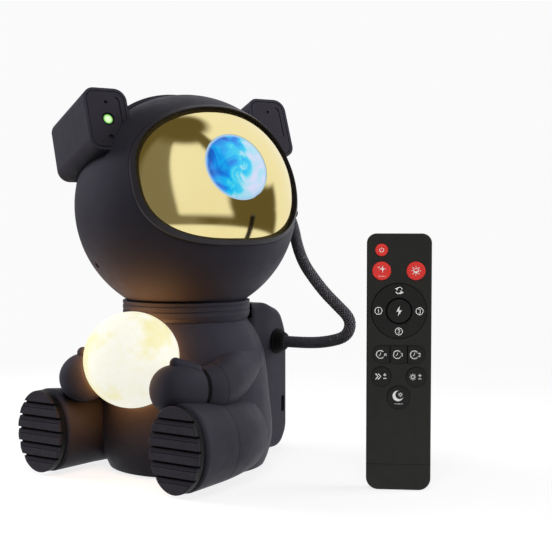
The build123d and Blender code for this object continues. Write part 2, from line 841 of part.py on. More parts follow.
dish_back = moon_centre[1] + moon_radius + moon_gap + dish_wall
with BuildPart() as moon_lamp:
    with BuildSketch(Plane.XZ.offset(-dish_back)):
        with Locations((moon_centre[0], moon_centre[2])):
            Circle(lamp_radius)
    extrude(amount=dish_wall + moon_gap + lamp_reach)
    with BuildSketch(Plane.XZ.offset(-dish_back)):
        with Locations((moon_centre[0], moon_centre[2])):
            Circle(lamp_flange)
    extrude(amount=-lamp_flange_thickness)
    with BuildSketch(Plane.XZ.offset(-dish_back + dish_wall + moon_gap + lamp_reach)):
        with Locations((moon_centre[0], moon_centre[2])):
            Circle(bulb_radius)
    extrude(amount=bulb_length, taper=20)
finish(moon_lamp, "moon_lamp")

# ---------------------------------------------------------------- backpack


def add_pack_face(inset):
    """Draw the backpack's side view, inset from its outer face."""
    with BuildLine() as outline:
        FilletPolyline(*pack_outline, radius=pack_corners, close=True)
    make_face(outline.edges())
    if inset:
        offset(amount=-inset, mode=Mode.REPLACE)


with BuildPart() as backpack_shell:
    with BuildSketch(Plane.YZ):
        add_pack_face(0)
    extrude(amount=pack_half_width, both=True)
    sides = backpack_shell.faces().filter_by(Axis.X)
    fillet([edge for face in sides for edge in face.edges() if edge.center().Y > pack_edge_start], pack_edge)
    with BuildSketch(Plane.YZ):
        add_pack_face(pack_wall)
    extrude(amount=pack_half_width - pack_wall, both=True, mode=Mode.SUBTRACT)
    add(torso_form.part, mode=Mode.SUBTRACT)
    with BuildSketch(Plane.XY.offset(torso_top)):
        Circle(collar_radius + pack_gap)
    extrude(amount=beyond, mode=Mode.SUBTRACT)
    with Locations(head_middle):
        Sphere(head_radius + pack_gap, mode=Mode.SUBTRACT)
    with BuildSketch(Plane.XZ.offset(-pack_back + pack_wall)):
        with Locations((0, cover_height)):
            RectangleRounded(cover_size[0], cover_size[1], cover_corner)
    extrude(amount=-2 * pack_wall, mode=Mode.SUBTRACT)
    with BuildSketch(Plane.YZ.offset(pack_half_width)):
        with Locations(usb_place):
            SlotOverall(usb_slot[1], usb_slot[0], rotation=90)
    extrude(amount=-2 * pack_wall, mode=Mode.SUBTRACT)
finish(backpack_shell, "backpack_shell")

key_places = [((index - (key_count - 1) / 2) * key_pitch, key_height) for index in range(key_count)]
cover_front = pack_back - cover_thickness
posts_across, posts_up, cover_post_radius = cover_posts
with BuildPart() as backpack_cover:
    with BuildSketch(Plane.XZ.offset(-pack_back)):
        with Locations((0, cover_height)):
            RectangleRounded(cover_size[0] - 2 * fit_gap, cover_size[1] - 2 * fit_gap, cover_corner - fit_gap)
    extrude(amount=cover_thickness)
    with BuildSketch(Plane.XZ.offset(-pack_back)):
        with Locations(*key_places):
            Circle(key_radius + key_gap)
    extrude(amount=cover_thickness, mode=Mode.SUBTRACT)
    with BuildSketch(Plane.XZ.offset(-cover_front)):
        with Locations((0, cover_height)):
            with GridLocations(posts_across, posts_up, 2, 2):
                Circle(cover_post_radius)
    extrude(amount=cover_front - board_back)
finish(backpack_cover, "backpack_cover")

switch_depth = cover_front - board_back - key_plate - key_travel - 2 * key_fit
with BuildPart() as main_circuit_board:
    with BuildSketch(Plane.XZ.offset(-board_back)):
        with Locations((0, cover_height)):
            Rectangle(*board_size)
    extrude(amount=board_thickness)
    with BuildSketch(Plane.XZ.offset(-board_back)):
        with Locations(*key_places):
            Rectangle(switch_size, switch_size)
    extrude(amount=-switch_depth)
finish(main_circuit_board, "main_circuit_board")

with BuildPart() as usb_socket:
    with Locations((pack_half_width - pack_wall, board_back, usb_place[1])):
        Box(*usb_body, align=(Align.MAX, Align.MIN, Align.CENTER))
    with Locations((pack_half_width - pack_wall, usb_place[0], usb_place[1])):
        Box(*usb_mouth, mode=Mode.SUBTRACT)
finish(usb_socket, "usb_socket")

for index, place in enumerate(key_places):
    with BuildPart() as backpack_key:
        with BuildSketch(Plane.XZ.offset(-pack_back - key_stand)):
            with Locations(place):
                Circle(key_radius)
        extrude(amount=key_stand + cover_thickness + key_fit)
        fillet(backpack_key.faces().sort_by(Axis.Y)[-1].edges(), key_round)
        with BuildSketch(Plane.XZ.offset(-cover_front + key_fit)):
            with Locations(place):
                Circle(key_radius + key_flange)
        extrude(amount=key_plate)
    finish(backpack_key, f"backpack_key_{index + 1}")

gland_pitch = (gland_length - gland_flange) / gland_ribs
gland_discs = [(0, gland_flange, gland_radius)]      # start, width and radius, from the backpack's side
for rib in range(gland_ribs):
    rib_start = gland_flange + rib * gland_pitch
    rib_radius = gland_sleeve[0] + (gland_sleeve[1] - gland_sleeve[0]) * rib / (gland_ribs - 1)
    gland_discs.append((rib_start, gland_pitch, rib_radius - gland_groove))
    gland_discs.append((rib_start + gland_pitch / 3, gland_pitch / 3, rib_radius))
with BuildPart() as backpack_gland:
    for start, width, radius in gland_discs:
        with BuildSketch(Plane.YZ.offset(pack_half_width + start)):
            with Locations(gland_place):
                Circle(radius)
        extrude(amount=width)
finish(backpack_gland, "backpack_gland")

# ---------------------------------------------------------------- collar

seat_radius = head_radius + seat_gap
collar_bottom = torso_top + collar_foot
retainer_top = torso_top - torso_wall - spigot_reach
with BuildPart() as neck_collar:
    with BuildSketch(Plane.XZ):
        with BuildLine():
            Polyline(
                (0, collar_bottom),
                (collar_foot_radius, collar_bottom),
                (collar_radius, collar_bottom + collar_chamfer),
                (collar_radius, collar_top),
                (0, collar_top),
                close=True,
            )
        make_face()
        for rib in range(collar_ribs):
            with Locations((collar_radius, collar_top - collar_first_rib - rib * rib_pitch)):
                Circle(rib_groove, mode=Mode.SUBTRACT)
    revolve(axis=Axis.Z)
    with BuildSketch(Plane.XY.offset(retainer_top)):
        Circle(spigot_radius)
    extrude(amount=collar_bottom - retainer_top)
    with Locations(head_middle):
        Sphere(seat_radius, mode=Mode.SUBTRACT)
    with BuildSketch(Plane.XY.offset(torso_top)):
        Circle(magnet_radii[1] + fit_gap)
    extrude(amount=-magnet_height, mode=Mode.SUBTRACT)
finish(neck_collar, "neck_collar")

with BuildPart() as neck_magnet:
    with BuildSketch(Plane.XY.offset(torso_top)):
        Circle(magnet_radii[1])
        Circle(magnet_radii[0], mode=Mode.SUBTRACT)
    extrude(amount=-magnet_height)
finish(neck_magnet, "neck_magnet")

with BuildPart() as collar_retainer:
    with BuildSketch(Plane.XY.offset(retainer_top)):
        Circle(spigot_radius + retainer_lip)
        Circle(magnet_radii[1] + fit_gap, mode=Mode.SUBTRACT)
    extrude(amount=-retainer_thickness)
finish(collar_retainer, "collar_retainer")

# ---------------------------------------------------------------- hose

bend_middle = head_middle + head_left * elbow_reach
leg_direction = (Vector(*hose_route[-1]) - bend_middle).normalized()
hose_end = bend_middle + leg_direction * elbow_leg
with BuildPart() as head_gland:
    for stand, radius in ((gland_stand, gland_radius), (elbow_stand, elbow_bend_radius)):
        with BuildSketch(Plane(origin=head_middle + head_left * (head_radius - gland_stand), z_dir=head_left)):
            Circle(radius)
        extrude(amount=gland_stand + stand)
    with Locations(bend_middle):
        Sphere(elbow_bend_radius)
    with BuildSketch(Plane(origin=bend_middle, z_dir=leg_direction)):
        Circle(elbow_bend_radius)
    extrude(amount=elbow_leg)
    for rib in range(elbow_ribs):
        rib_middle = bend_middle + leg_direction * elbow_leg * (rib + 0.5) / elbow_ribs
        with BuildSketch(Plane(origin=rib_middle, z_dir=leg_direction)):
            Circle(elbow_bend_radius + elbow_rib[0])
        extrude(amount=elbow_rib[1] / 2, both=True)
    with Locations(head_middle):
        Sphere(head_radius, mode=Mode.SUBTRACT)
finish(head_gland, "head_gland")


def bend_radii(route):
    """The radius at each corner of a route: 0.45 of its shorter run, over the tangent of half the turn."""
    radii = []
    for before, corner, after in zip(route, route[1:], route[2:]):
        into = Vector(*corner) - Vector(*before)
        out = Vector(*after) - Vector(*corner)
        half_turn = radians(into.get_angle(out)) / 2
        radii.append(0.45 * min(into.length, out.length) / tan(half_turn))
    return radii


def make_hose(route):
    """A round hose along a route of straight runs joined by tangent arcs."""
    radii = bend_radii(route)
    print("hose bend radii", [round(radius, 1) for radius in radii])
    first = (Vector(*route[1]) - Vector(*route[0])).normalized()
    with BuildPart() as hose:
        with BuildLine() as path:
            FilletPolyline(*route, radius=radii)
        with BuildSketch(Plane(origin=route[0], z_dir=first)):
            Circle(hose_radius)
        sweep(path=path.line)
    length = sum(edge.length for edge in path.edges())
    section = pi * hose_radius**2
    print("hose length", round(length, 1), "and its volume over its section", round(hose.part.volume / section, 1))
    return hose


join_start, join_end = (Vector(*point) for point in hose_route[hose_join : hose_join + 2])
join_point = (join_start + join_end) / 2
finish(make_hose([*hose_route[: hose_join + 1], tuple(join_point)]), "hose_lower")
finish(make_hose([tuple(join_point), *hose_route[hose_join + 1 :], tuple(hose_end)]), "hose_upper")

# ---------------------------------------------------------------- remote control


def add_remote_face(inset, low, high):
    """Draw the remote's front view, inset from its outer face, between two heights."""
    half = remote_width / 2 - inset
    top_corner, bottom_corner = (corner - inset for corner in remote_corners)
    with BuildLine() as outline:
        FilletPolyline(
            (-half, inset),
            (half, inset),
            (half, remote_height - inset),
            (-half, remote_height - inset),
            radius=[bottom_corner, bottom_corner, top_corner, top_corner],
            close=True,
        )
    make_face(outline.edges())
    with Locations((0, (low + high) / 2)):
        Rectangle(beyond, high - low, mode=Mode.INTERSECT)


def round_edges(case, side):
    """Round the outer edges of a case's front (side 1) or back (side -1), but not along the end cap's seam."""
    face = case.faces().sort_by(Axis((0, 0, 0), remote_normal * side))[-1]
    seam = 2 * cap_gap
    fillet([edge for edge in face.outer_wire().edges() if abs(edge.center().Z - cap_height) > seam], remote_edge)


def add_holes():
    """Draw the holes for every button in the remote's face."""
    for across, drop, radius in round_buttons.values():
        with Locations((across, remote_height - drop)):
            Circle(radius + button_gap)
    with Locations((0, remote_height - ring_drop)):
        Circle(ring_radii[1] + ring_gap)
    with Locations((0, remote_height - timer_drop)):
        SlotOverall(timer_size[0] + 2 * button_gap, timer_size[1] + 2 * button_gap)


with BuildPart() as remote_front_case:
    with BuildSketch(REMOTE):
        add_remote_face(0, cap_height, remote_height)
    extrude(amount=remote_half)
    with BuildSketch(REMOTE):
        add_remote_face(remote_wall, 0, remote_height)
    extrude(amount=remote_half - remote_wall, mode=Mode.SUBTRACT)
    round_edges(remote_front_case, 1)
    with BuildSketch(REMOTE):
        add_holes()
    extrude(amount=remote_half, mode=Mode.SUBTRACT)
finish(remote_front_case, "remote_front_case")

with BuildPart() as remote_rear_case:
    with BuildSketch(REMOTE):
        add_remote_face(0, cap_height, remote_height)
    extrude(amount=-remote_half)
    with BuildSketch(REMOTE):
        add_remote_face(remote_wall, 0, remote_height)
    extrude(amount=-remote_half + remote_wall, mode=Mode.SUBTRACT)
    round_edges(remote_rear_case, -1)
finish(remote_rear_case, "remote_rear_case")

tray_width, tray_length, tray_thickness = tray_size
tray_floor = -remote_half + remote_wall + tray_gap
with BuildPart() as remote_end_cap:
    with BuildSketch(REMOTE):
        add_remote_face(0, 0, cap_height - cap_gap)
    extrude(amount=remote_half, both=True)
    round_edges(remote_end_cap, 1)
    round_edges(remote_end_cap, -1)
    with BuildSketch(REMOTE.offset(tray_floor)):
        with Locations((0, cap_height - cap_gap + tray_length / 2)):
            Rectangle(tray_width, tray_length)
    extrude(amount=tray_thickness)
finish(remote_end_cap, "remote_end_cap")

with BuildPart() as remote_battery:
    with BuildSketch(REMOTE.offset(tray_floor + tray_thickness)):
        with Locations((0, cap_height + tray_length / 2)):
            Circle(battery_radius)
    extrude(amount=battery_thickness)
finish(remote_battery, "remote_battery")

board_width, board_length, board_depth = remote_board
with BuildPart() as remote_circuit_board:
    with BuildSketch(REMOTE.offset(remote_board_top - board_depth)):
        with Locations((0, remote_height - remote_wall - remote_board_gap - board_length / 2)):
            Rectangle(board_width, board_length)
    extrude(amount=board_depth)
finish(remote_circuit_board, "remote_circuit_board")

for name, (across, drop, radius) in round_buttons.items():
    with BuildPart() as button:
        with BuildSketch(REMOTE.offset(button_foot)):
            with Locations((across, remote_height - drop)):
                Circle(radius)
        extrude(amount=button_top - button_foot)
        fillet(button.faces().sort_by(Axis((0, 0, 0), remote_normal))[-1].edges(), button_round)
        with BuildSketch(REMOTE.offset(button_foot)):
            with Locations((across, remote_height - drop)):
                Circle(radius + button_flange)
        extrude(amount=remote_half - remote_wall - button_foot - button_stop)
    finish(button, name)

with BuildPart() as direction_ring:
    with BuildSketch(REMOTE.offset(button_foot)):
        with Locations((0, remote_height - ring_drop)):
            Circle(ring_radii[1])
            Circle(ring_radii[0], mode=Mode.SUBTRACT)
    extrude(amount=button_top - button_foot)
    fillet(direction_ring.faces().sort_by(Axis((0, 0, 0), remote_normal))[-1].edges(), button_round)
finish(direction_ring, "direction_ring")

with BuildPart() as ring_pad:
    with BuildSketch(REMOTE.offset(remote_board_top + pad_ring_stand[0])):
        with Locations((0, remote_height - ring_drop)):
            Circle(pad_ring[1])
            Circle(pad_ring[0], mode=Mode.SUBTRACT)
    extrude(amount=pad_ring_stand[1])
finish(ring_pad, "ring_pad")

with BuildPart() as centre_button:
    with BuildSketch(REMOTE.offset(button_foot - centre_foot)):
        with Locations((0, remote_height - ring_drop)):
            Circle(centre_radius)
    extrude(amount=button_top - button_foot + centre_foot)
    fillet(centre_button.faces().sort_by(Axis((0, 0, 0), remote_normal))[-1].edges(), button_round)
finish(centre_button, "centre_button")

with BuildPart() as timer_keys:
    with BuildSketch(REMOTE.offset(button_foot)):
        with Locations((0, remote_height - timer_drop)):
            SlotOverall(*timer_size)
            with Locations((-timer_size[0] / 6, 0), (timer_size[0] / 6, 0)):
                Rectangle(timer_gap, beyond, mode=Mode.SUBTRACT)
    extrude(amount=button_top - button_foot)
across_axis = Axis((0, 0, 0), REMOTE.x_dir)
for index, key in enumerate(timer_keys.solids().sort_by(across_axis)):
    key.label = f"timer_button_{index + 1}"
    pieces.append(key)

# ---------------------------------------------------------------- export

os.makedirs("parts", exist_ok=True)
for piece in pieces:
    export_step(piece, f"parts/{piece.label}.step")
print(len(pieces), "pieces")
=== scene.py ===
"""The looks of a seated astronaut star projector with its remote, dressed over the CAD frame."""

import json
from math import cos, pi, radians, sin

import bmesh
import bpy
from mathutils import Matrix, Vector

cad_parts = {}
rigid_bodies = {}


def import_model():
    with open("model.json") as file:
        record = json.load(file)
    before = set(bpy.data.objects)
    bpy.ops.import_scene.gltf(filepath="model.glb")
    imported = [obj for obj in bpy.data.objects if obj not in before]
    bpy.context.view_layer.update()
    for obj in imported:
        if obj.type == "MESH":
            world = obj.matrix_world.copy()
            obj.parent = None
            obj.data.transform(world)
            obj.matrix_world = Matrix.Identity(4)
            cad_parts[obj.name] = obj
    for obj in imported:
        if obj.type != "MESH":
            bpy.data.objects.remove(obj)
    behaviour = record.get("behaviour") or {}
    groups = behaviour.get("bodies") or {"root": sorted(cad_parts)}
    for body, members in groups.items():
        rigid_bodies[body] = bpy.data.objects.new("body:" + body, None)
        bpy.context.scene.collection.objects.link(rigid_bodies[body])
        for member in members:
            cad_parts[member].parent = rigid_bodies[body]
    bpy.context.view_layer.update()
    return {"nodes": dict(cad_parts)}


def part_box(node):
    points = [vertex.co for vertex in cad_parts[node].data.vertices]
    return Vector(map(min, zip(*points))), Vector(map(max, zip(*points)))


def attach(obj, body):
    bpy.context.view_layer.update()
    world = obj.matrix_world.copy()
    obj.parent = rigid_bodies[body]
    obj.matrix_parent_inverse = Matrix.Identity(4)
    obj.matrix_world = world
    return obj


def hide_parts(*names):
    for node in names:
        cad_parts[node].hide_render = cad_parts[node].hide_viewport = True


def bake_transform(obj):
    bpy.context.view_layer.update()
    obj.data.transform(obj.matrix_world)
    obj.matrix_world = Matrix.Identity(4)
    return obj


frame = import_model()
nodes = frame["nodes"]

# ---------------------------------------------------------------- the view
# A camera a little above table height, on the astronaut's left, as far away as a small studio allows. It is
# turned towards the object and looks slightly down.

camera_distance = 0.656
camera_side = radians(38.3)
camera_height = 0.142
camera_turn = radians(33.73)
camera_dip = radians(2.95)

camera_data = bpy.data.cameras.new("camera")
camera_data.lens = 72.5
camera_data.clip_start = 0.01
camera = bpy.data.objects.new("camera", camera_data)
camera.location = (camera_distance * sin(camera_side), -camera_distance * cos(camera_side), camera_height)
camera.rotation_euler = (pi / 2 - camera_dip, 0, camera_turn)
bpy.context.scene.collection.objects.link(camera)
bpy.context.scene.camera = camera
bpy.context.scene.view_settings.view_transform = "Standard"

# ---------------------------------------------------------------- the studio
# A white table and backdrop, with a dark room behind the camera and overhead. One tall soft box, at the right
# of the camera, is what the visor mirrors; three lamps and the pale room light the rest.

white = (0.955, 0.955, 0.96, 1)
room_dark = (0.125, 0.100, 0.045, 1)
room_fill = (0.86, 0.86, 0.95, 1)
fill_strength = 0.06
paper_grey = (0.24, 0.24, 0.24, 1)
paper_lift = (0.80, 0.80, 0.805, 1)
bounce_grey = (0.12, 0.12, 0.12, 1)
table_radius = 3.0
table_drop = 0.0002
paper_fade = (0.16, 0.55)
lit_table = (0.50, 0.42)
head_middle = Vector((0, 0, 0.1505))

# What the visor mirrors. Each pair of angles, in degrees, is a soft edge that runs from dark to lit. Sideways
# angles go round from the body's front towards its left, and upward ones start at the horizon.
turn_range = (345.0, -15.0)
backdrop_left = (90, 98)
backdrop_right = (241, 233)
backdrop_top = (79, 69)
backdrop_foot = (11, 16)
foot_end = (141, 150)
box_lean = 0.26
box_left = (25, 32)
box_right = (88, 80)
box_foot = (-13, -6)
box_top = (70, 61)
box_level = 0.97
haze_left = (-14, -3)
haze_right = (62, 36)
haze_top = (74, 58)
haze_level = 0.125


def shader_tree(owner, output="OutputMaterial"):
    """The owner's node tree, emptied, with a new output node."""
    owner.use_nodes = True
    owner.node_tree.nodes.clear()
    return owner.node_tree, put(owner.node_tree, output)


def put(tree, kind, links=(), **properties):
    """Add a shader node, set its properties, and link others into its inputs."""
    node = tree.nodes.new("ShaderNode" + kind)
    for name, value in properties.items():
        setattr(node, name, value)
    for source, target in links:
        if isinstance(source, (int, float)):
            node.inputs[target].default_value = source
        else:
            tree.links.new(source, node.inputs[target])
    return node


def sums(tree, operation, *values):
    """One step of arithmetic on sockets and numbers."""
    links = [(value, index) for index, value in enumerate(values)]
    return put(tree, "Math", links, operation=operation).outputs[0]


def vectors(tree, operation, first, second=(0, 0, 0)):
    """One step of vector arithmetic on a socket and a fixed vector."""
    node = put(tree, "VectorMath", [(first, 0)], operation=operation)
    node.inputs[1].default_value = second
    return node.outputs["Value" if operation in ("LENGTH", "DOT_PRODUCT") else "Vector"]


def plain(tree, kind, colour):
    """A shader node of one plain colour."""
    node = put(tree, kind)
    node.inputs["Color"].default_value = colour
    return node


def mix_shaders(tree, share, first, second):
    """Two shaders mixed: the first where the share is 0, the second where it is 1."""
    return put(tree, "MixShader", [(share, 0), (first.outputs[0], 1), (second.outputs[0], 2)])


def step_between(tree, value, low, high):
    """A smooth step of a value from 0 at one number to 1 at another."""
    links = [(value, "Value"), (float(low), "From Min"), (float(high), "From Max")]
    return put(tree, "MapRange", links, interpolation_type="SMOOTHSTEP").outputs[0]


def pane(tree, *edges):
    """A lit shape: smooth steps, each on a value between two numbers, multiplied together."""
    steps = [step_between(tree, value, *limits) for value, limits in edges]
    shape = steps[0]
    for step in steps[1:]:
        shape = sums(tree, "MULTIPLY", shape, step)
    return shape


def room_light(tree, direction):
    """How much of the white backdrop or the soft box a mirror sees in a direction, from 0 to 1."""
    split = put(tree, "SeparateXYZ", [(direction, 0)])
    behind = sums(tree, "MULTIPLY", split.outputs["Y"], -1.0)
    side = sums(tree, "MULTIPLY", sums(tree, "ARCTAN2", split.outputs["X"], behind), 180 / pi)
    height = sums(tree, "MULTIPLY", sums(tree, "ARCSINE", split.outputs["Z"]), 180 / pi)
    turn = sums(tree, "WRAP", side, *turn_range)
    backdrop = pane(tree, (turn, backdrop_left), (turn, backdrop_right), (height, backdrop_top))
    raised = sums(tree, "MAXIMUM", pane(tree, (height, backdrop_foot)), pane(tree, (turn, foot_end)))
    backdrop = sums(tree, "MULTIPLY", backdrop, raised)
    leaning = sums(tree, "MULTIPLY_ADD", height, box_lean, side)
    haze = pane(tree, (leaning, haze_left), (leaning, haze_right), (height, haze_top))
    box = pane(tree, (leaning, box_left), (leaning, box_right), (height, box_foot), (height, box_top))
    lit = sums(tree, "MAXIMUM", backdrop, sums(tree, "MULTIPLY", box, box_level))
    return sums(tree, "MAXIMUM", lit, sums(tree, "MULTIPLY", haze, haze_level))


def room_colour(tree, light):
    """The dark room's colour, or the white of what is lit in it."""
    mix = put(tree, "Mix", data_type="RGBA")
    tree.links.new(light, mix.inputs["Factor"])
    mix.inputs[6].default_value = room_dark
    mix.inputs[7].default_value = white
    return mix.outputs[2]


def dress_world():
    world = bpy.data.worlds.new("studio")
    bpy.context.scene.world = world
    tree, output = shader_tree(world, "OutputWorld")
    ray = put(tree, "LightPath")
    direction = put(tree, "TexCoord").outputs["Generated"]
    mirrored = put(tree, "Background", [(room_colour(tree, room_light(tree, direction)), "Color")])
    fill = plain(tree, "Background", room_fill)
    fill.inputs["Strength"].default_value = fill_strength
    backdrop = plain(tree, "Background", white)
    glossy = sums(tree, "MAXIMUM", ray.outputs["Is Glossy Ray"], ray.outputs["Is Transmission Ray"])
    light = mix_shaders(tree, glossy, fill, mirrored)
    both = mix_shaders(tree, ray.outputs["Is Camera Ray"], light, backdrop)
    tree.links.new(both.outputs[0], output.inputs["Surface"])


def dress_table():
    """A round white table that keeps the object's shadow and fades into the backdrop's white away from it."""
    mesh = bpy.data.meshes.new("table")
    form = bmesh.new()
    bmesh.ops.create_circle(form, cap_ends=True, segments=96, radius=table_radius)
    form.to_mesh(mesh)
    form.free()
    table = bpy.data.objects.new("table", mesh)
    table.location.z = -table_drop
    bpy.context.scene.collection.objects.link(table)
    material = bpy.data.materials.new("table_white")
    tree, output = shader_tree(material)
    place = put(tree, "TexCoord").outputs["Object"]
    reach = vectors(tree, "LENGTH", place)
    paper = plain(tree, "BsdfDiffuse", paper_grey)
    lift = plain(tree, "Emission", paper_lift)
    near = put(tree, "AddShader", [(paper.outputs[0], 0), (lift.outputs[0], 1)])
    far = plain(tree, "Emission", white)
    seen = mix_shaders(tree, step_between(tree, reach, *paper_fade), near, far)
    bounce = plain(tree, "BsdfDiffuse", bounce_grey)
    direction = vectors(tree, "NORMALIZE", vectors(tree, "SUBTRACT", place, head_middle))
    lit = sums(tree, "MAXIMUM", room_light(tree, direction), step_between(tree, reach, *lit_table))
    mirrored = put(tree, "Emission", [(room_colour(tree, lit), "Color")])
    ray = put(tree, "LightPath")
    rest = mix_shaders(tree, ray.outputs["Is Glossy Ray"], bounce, mirrored)
    both = mix_shaders(tree, ray.outputs["Is Camera Ray"], rest, seen)
    tree.links.new(both.outputs[0], output.inputs["Surface"])
    mesh.materials.append(material)


def hang_lamp(name, place, aim, size, power):
    """A rectangular soft box at a place, aimed at a point."""
    lamp = bpy.data.lights.new(name, "AREA")
    lamp.shape = "RECTANGLE"
    lamp.size, lamp.size_y = size
    lamp.energy = power
    holder = bpy.data.objects.new(name, lamp)
    holder.location = place
    holder.rotation_euler = (Vector(aim) - Vector(place)).to_track_quat("-Z", "Y").to_euler()
    holder.visible_glossy = False
    bpy.context.scene.collection.objects.link(holder)
    return holder


dress_world()
dress_table()
hang_lamp("right_box", (0.78, 0.45, 0.30), head_middle, (0.4, 0.5), 7.5)
hang_lamp("left_box", (-0.93, -0.28, 0.42), head_middle, (0.5, 0.5), 15.0)
hang_lamp("top_box", (0.42, -0.72, 1.10), head_middle, (0.6, 0.5), 6.5)

# ---------------------------------------------------------------- black shells
# The helmet, ears, collar, body, arms, boots and backpack are injection-moulded in black plastic with a
# slight violet cast and a fine matt spark texture. The parts snap together and are glued at their seams.

noise_range = (0.3, 0.7)


def finish_for(name):
    """A new material with its principled shader, its tree and the object coordinates."""
    material = bpy.data.materials.new(name)
    tree, output = shader_tree(material)
    shader = put(tree, "BsdfPrincipled")
    tree.links.new(shader.outputs[0], output.inputs["Surface"])
    place = put(tree, "TexCoord").outputs["Object"]
    return material, tree, shader, place


def grain(tree, place, scale, detail=2.0):
    """Fine noise over the piece, from 0 to 1."""
    noise = put(tree, "TexNoise", [(place, "Vector")])
    noise.inputs["Scale"].default_value = scale
    noise.inputs["Detail"].default_value = detail
    return noise.outputs["Fac"]


def spread(tree, value, low, high):
    """A noise value, stretched between two numbers."""
    links = [(value, "Value"), (noise_range[0], "From Min"), (noise_range[1], "From Max")]
    links += [(float(low), "To Min"), (float(high), "To Max")]
    return put(tree, "MapRange", links).outputs[0]


def tint(tree, value, dark, light):
    """A colour between two, by a value from 0 to 1. Each of the two is a colour or a socket."""
    mix = put(tree, "Mix", [(value, "Factor")], data_type="RGBA")
    for index, colour in ((6, dark), (7, light)):
        if isinstance(colour, bpy.types.NodeSocket):
            tree.links.new(colour, mix.inputs[index])
        else:
            mix.inputs[index].default_value = (*colour, 1)
    return mix.outputs[2]


def roughen(tree, shader, place, scale, low, high, detail=2.0):
    """Roughness that drifts between two values over the piece."""
    tree.links.new(spread(tree, grain(tree, place, scale, detail), low, high), shader.inputs["Roughness"])


def bump(tree, shader, height, distance, strength=0.5):
    """Small dents and rises in the surface, this many metres deep."""
    node = put(tree, "Bump", [(height, "Height")])
    node.inputs["Distance"].default_value = distance
    node.inputs["Strength"].default_value = strength
    tree.links.new(node.outputs[0], shader.inputs["Normal"])


def moulded_plastic(name, dark, light, roughness=(0.50, 0.62), pits=0.00004, shine=0.12):
    """Moulded plastic: a fine spark texture, and shine and colour that drift a little over the piece."""
    material, tree, shader, place = finish_for(name)
    drift = spread(tree, grain(tree, place, 22.0, 4.0), 0, 1)
    tree.links.new(tint(tree, drift, dark, light), shader.inputs["Base Color"])
    roughen(tree, shader, place, 160.0, *roughness, detail=3.0)
    bump(tree, shader, grain(tree, place, 3200.0, 1.0), pits)
    shader.inputs["Specular IOR Level"].default_value = shine
    return material


def wear(material, *names):
    """Give CAD nodes a finish."""
    for name in names:
        nodes[name].data.materials.clear()
        nodes[name].data.materials.append(material)


shell_black = moulded_plastic("shell_black", (0.034, 0.0325, 0.043), (0.040, 0.038, 0.050))
rim_black = moulded_plastic(
    "rim_black", (0.026, 0.024, 0.031), (0.032, 0.030, 0.038), roughness=(0.40, 0.50), pits=0.00002, shine=0.4
)
ear_black = moulded_plastic("ear_black", (0.030, 0.028, 0.036), (0.036, 0.033, 0.042))
dark_rubber = moulded_plastic(
    "dark_rubber", (0.005, 0.005, 0.006), (0.009, 0.009, 0.010),
    roughness=(0.65, 0.8), pits=0.00008, shine=0.25
)
wear(shell_black, "helmet_front_shell", "helmet_rear_shell", "left_ear_housing", "right_ear_housing")
wear(shell_black, "neck_collar", "torso_shell", "left_forearm", "right_forearm", "left_hand", "right_hand")
wear(shell_black, "left_boot", "right_boot", "backpack_shell", "base_plate")
wear(rim_black, "visor_rim", "backpack_cover", "backpack_key_1", "backpack_key_2", "backpack_key_3")
wear(ear_black, "ear_plates")
wear(dark_rubber, "base_pad", "wrist_cuffs", "backpack_gland", "head_gland", "ring_pad")

# ---------------------------------------------------------------- boot soles
# Moulded rubber soles, glued into the boots' toes. Shade is painted into their grooves: the rubber
# is darker the deeper it lies behind the tread.

sole_front = 0.0725
tread_depth = 0.0026


def dress_soles():
    material, tree, shader, place = finish_for("tread_rubber")
    depth = sums(tree, "ADD", put(tree, "SeparateXYZ", [(place, 0)]).outputs["Y"], sole_front)
    # Painted shade: the rubber's colour darkens towards the bottom of the grooves, where shade falls.
    wear_and_groove_shade = step_between(tree, depth, tread_depth * 0.75, 0.0002)
    speckle = spread(tree, grain(tree, place, 260.0, 3.0), 0.82, 1.0)
    level = sums(tree, "MULTIPLY", wear_and_groove_shade, speckle)
    rubber = tint(tree, level, (0.002, 0.002, 0.003), (0.034, 0.031, 0.041))
    tree.links.new(rubber, shader.inputs["Base Color"])
    roughen(tree, shader, place, 160.0, 0.55, 0.7)
    shader.inputs["Specular IOR Level"].default_value = 0.25
    bump(tree, shader, grain(tree, place, 1800.0, 2.0), 0.00006)
    wear(material, "boot_soles")


dress_soles()

# ---------------------------------------------------------------- visor
# The helmet's face: a polycarbonate dome, vacuum-plated in pale gold, so that it mirrors the room. It lies on
# the ledge of the visor rim and has a round hole for the projection lens.


def dress_visor():
    material, tree, shader, place = finish_for("gold_plating")
    shader.inputs["Metallic"].default_value = 1.0
    drift = spread(tree, grain(tree, place, 30.0), 0, 1)
    tree.links.new(tint(tree, drift, (0.90, 0.765, 0.36), (0.94, 0.81, 0.405)), shader.inputs["Base Color"])
    roughen(tree, shader, place, 90.0, 0.07, 0.11)
    wear(material, "visor")


dress_visor()

# ---------------------------------------------------------------- projection lens
# A clear dome over the star and nebula slides, which shine through it in blue and white. It is moulded in
# acrylic and sits in the front of the lens barrel, a little behind the visor's face.

head_turn = radians(67)
head_tilt = radians(20)
head_left = Vector((cos(head_turn), sin(head_turn), 0))
head_forward = Vector((sin(head_turn) * cos(head_tilt), -cos(head_turn) * cos(head_tilt), sin(head_tilt)))
head_up = head_forward.cross(head_left)
lens_radius = 0.019
lens_reach = 0.062
lens_front = head_middle + head_forward * lens_reach
cloud_contrast = 1.5
cloud_shift = 0.24


def off_axis(tree, place, middle):
    """A point's offset from a middle, and its distance from the line forward through that middle."""
    offset = vectors(tree, "SUBTRACT", place, middle)
    return offset, vectors(tree, "LENGTH", vectors(tree, "CROSS_PRODUCT", offset, head_forward))


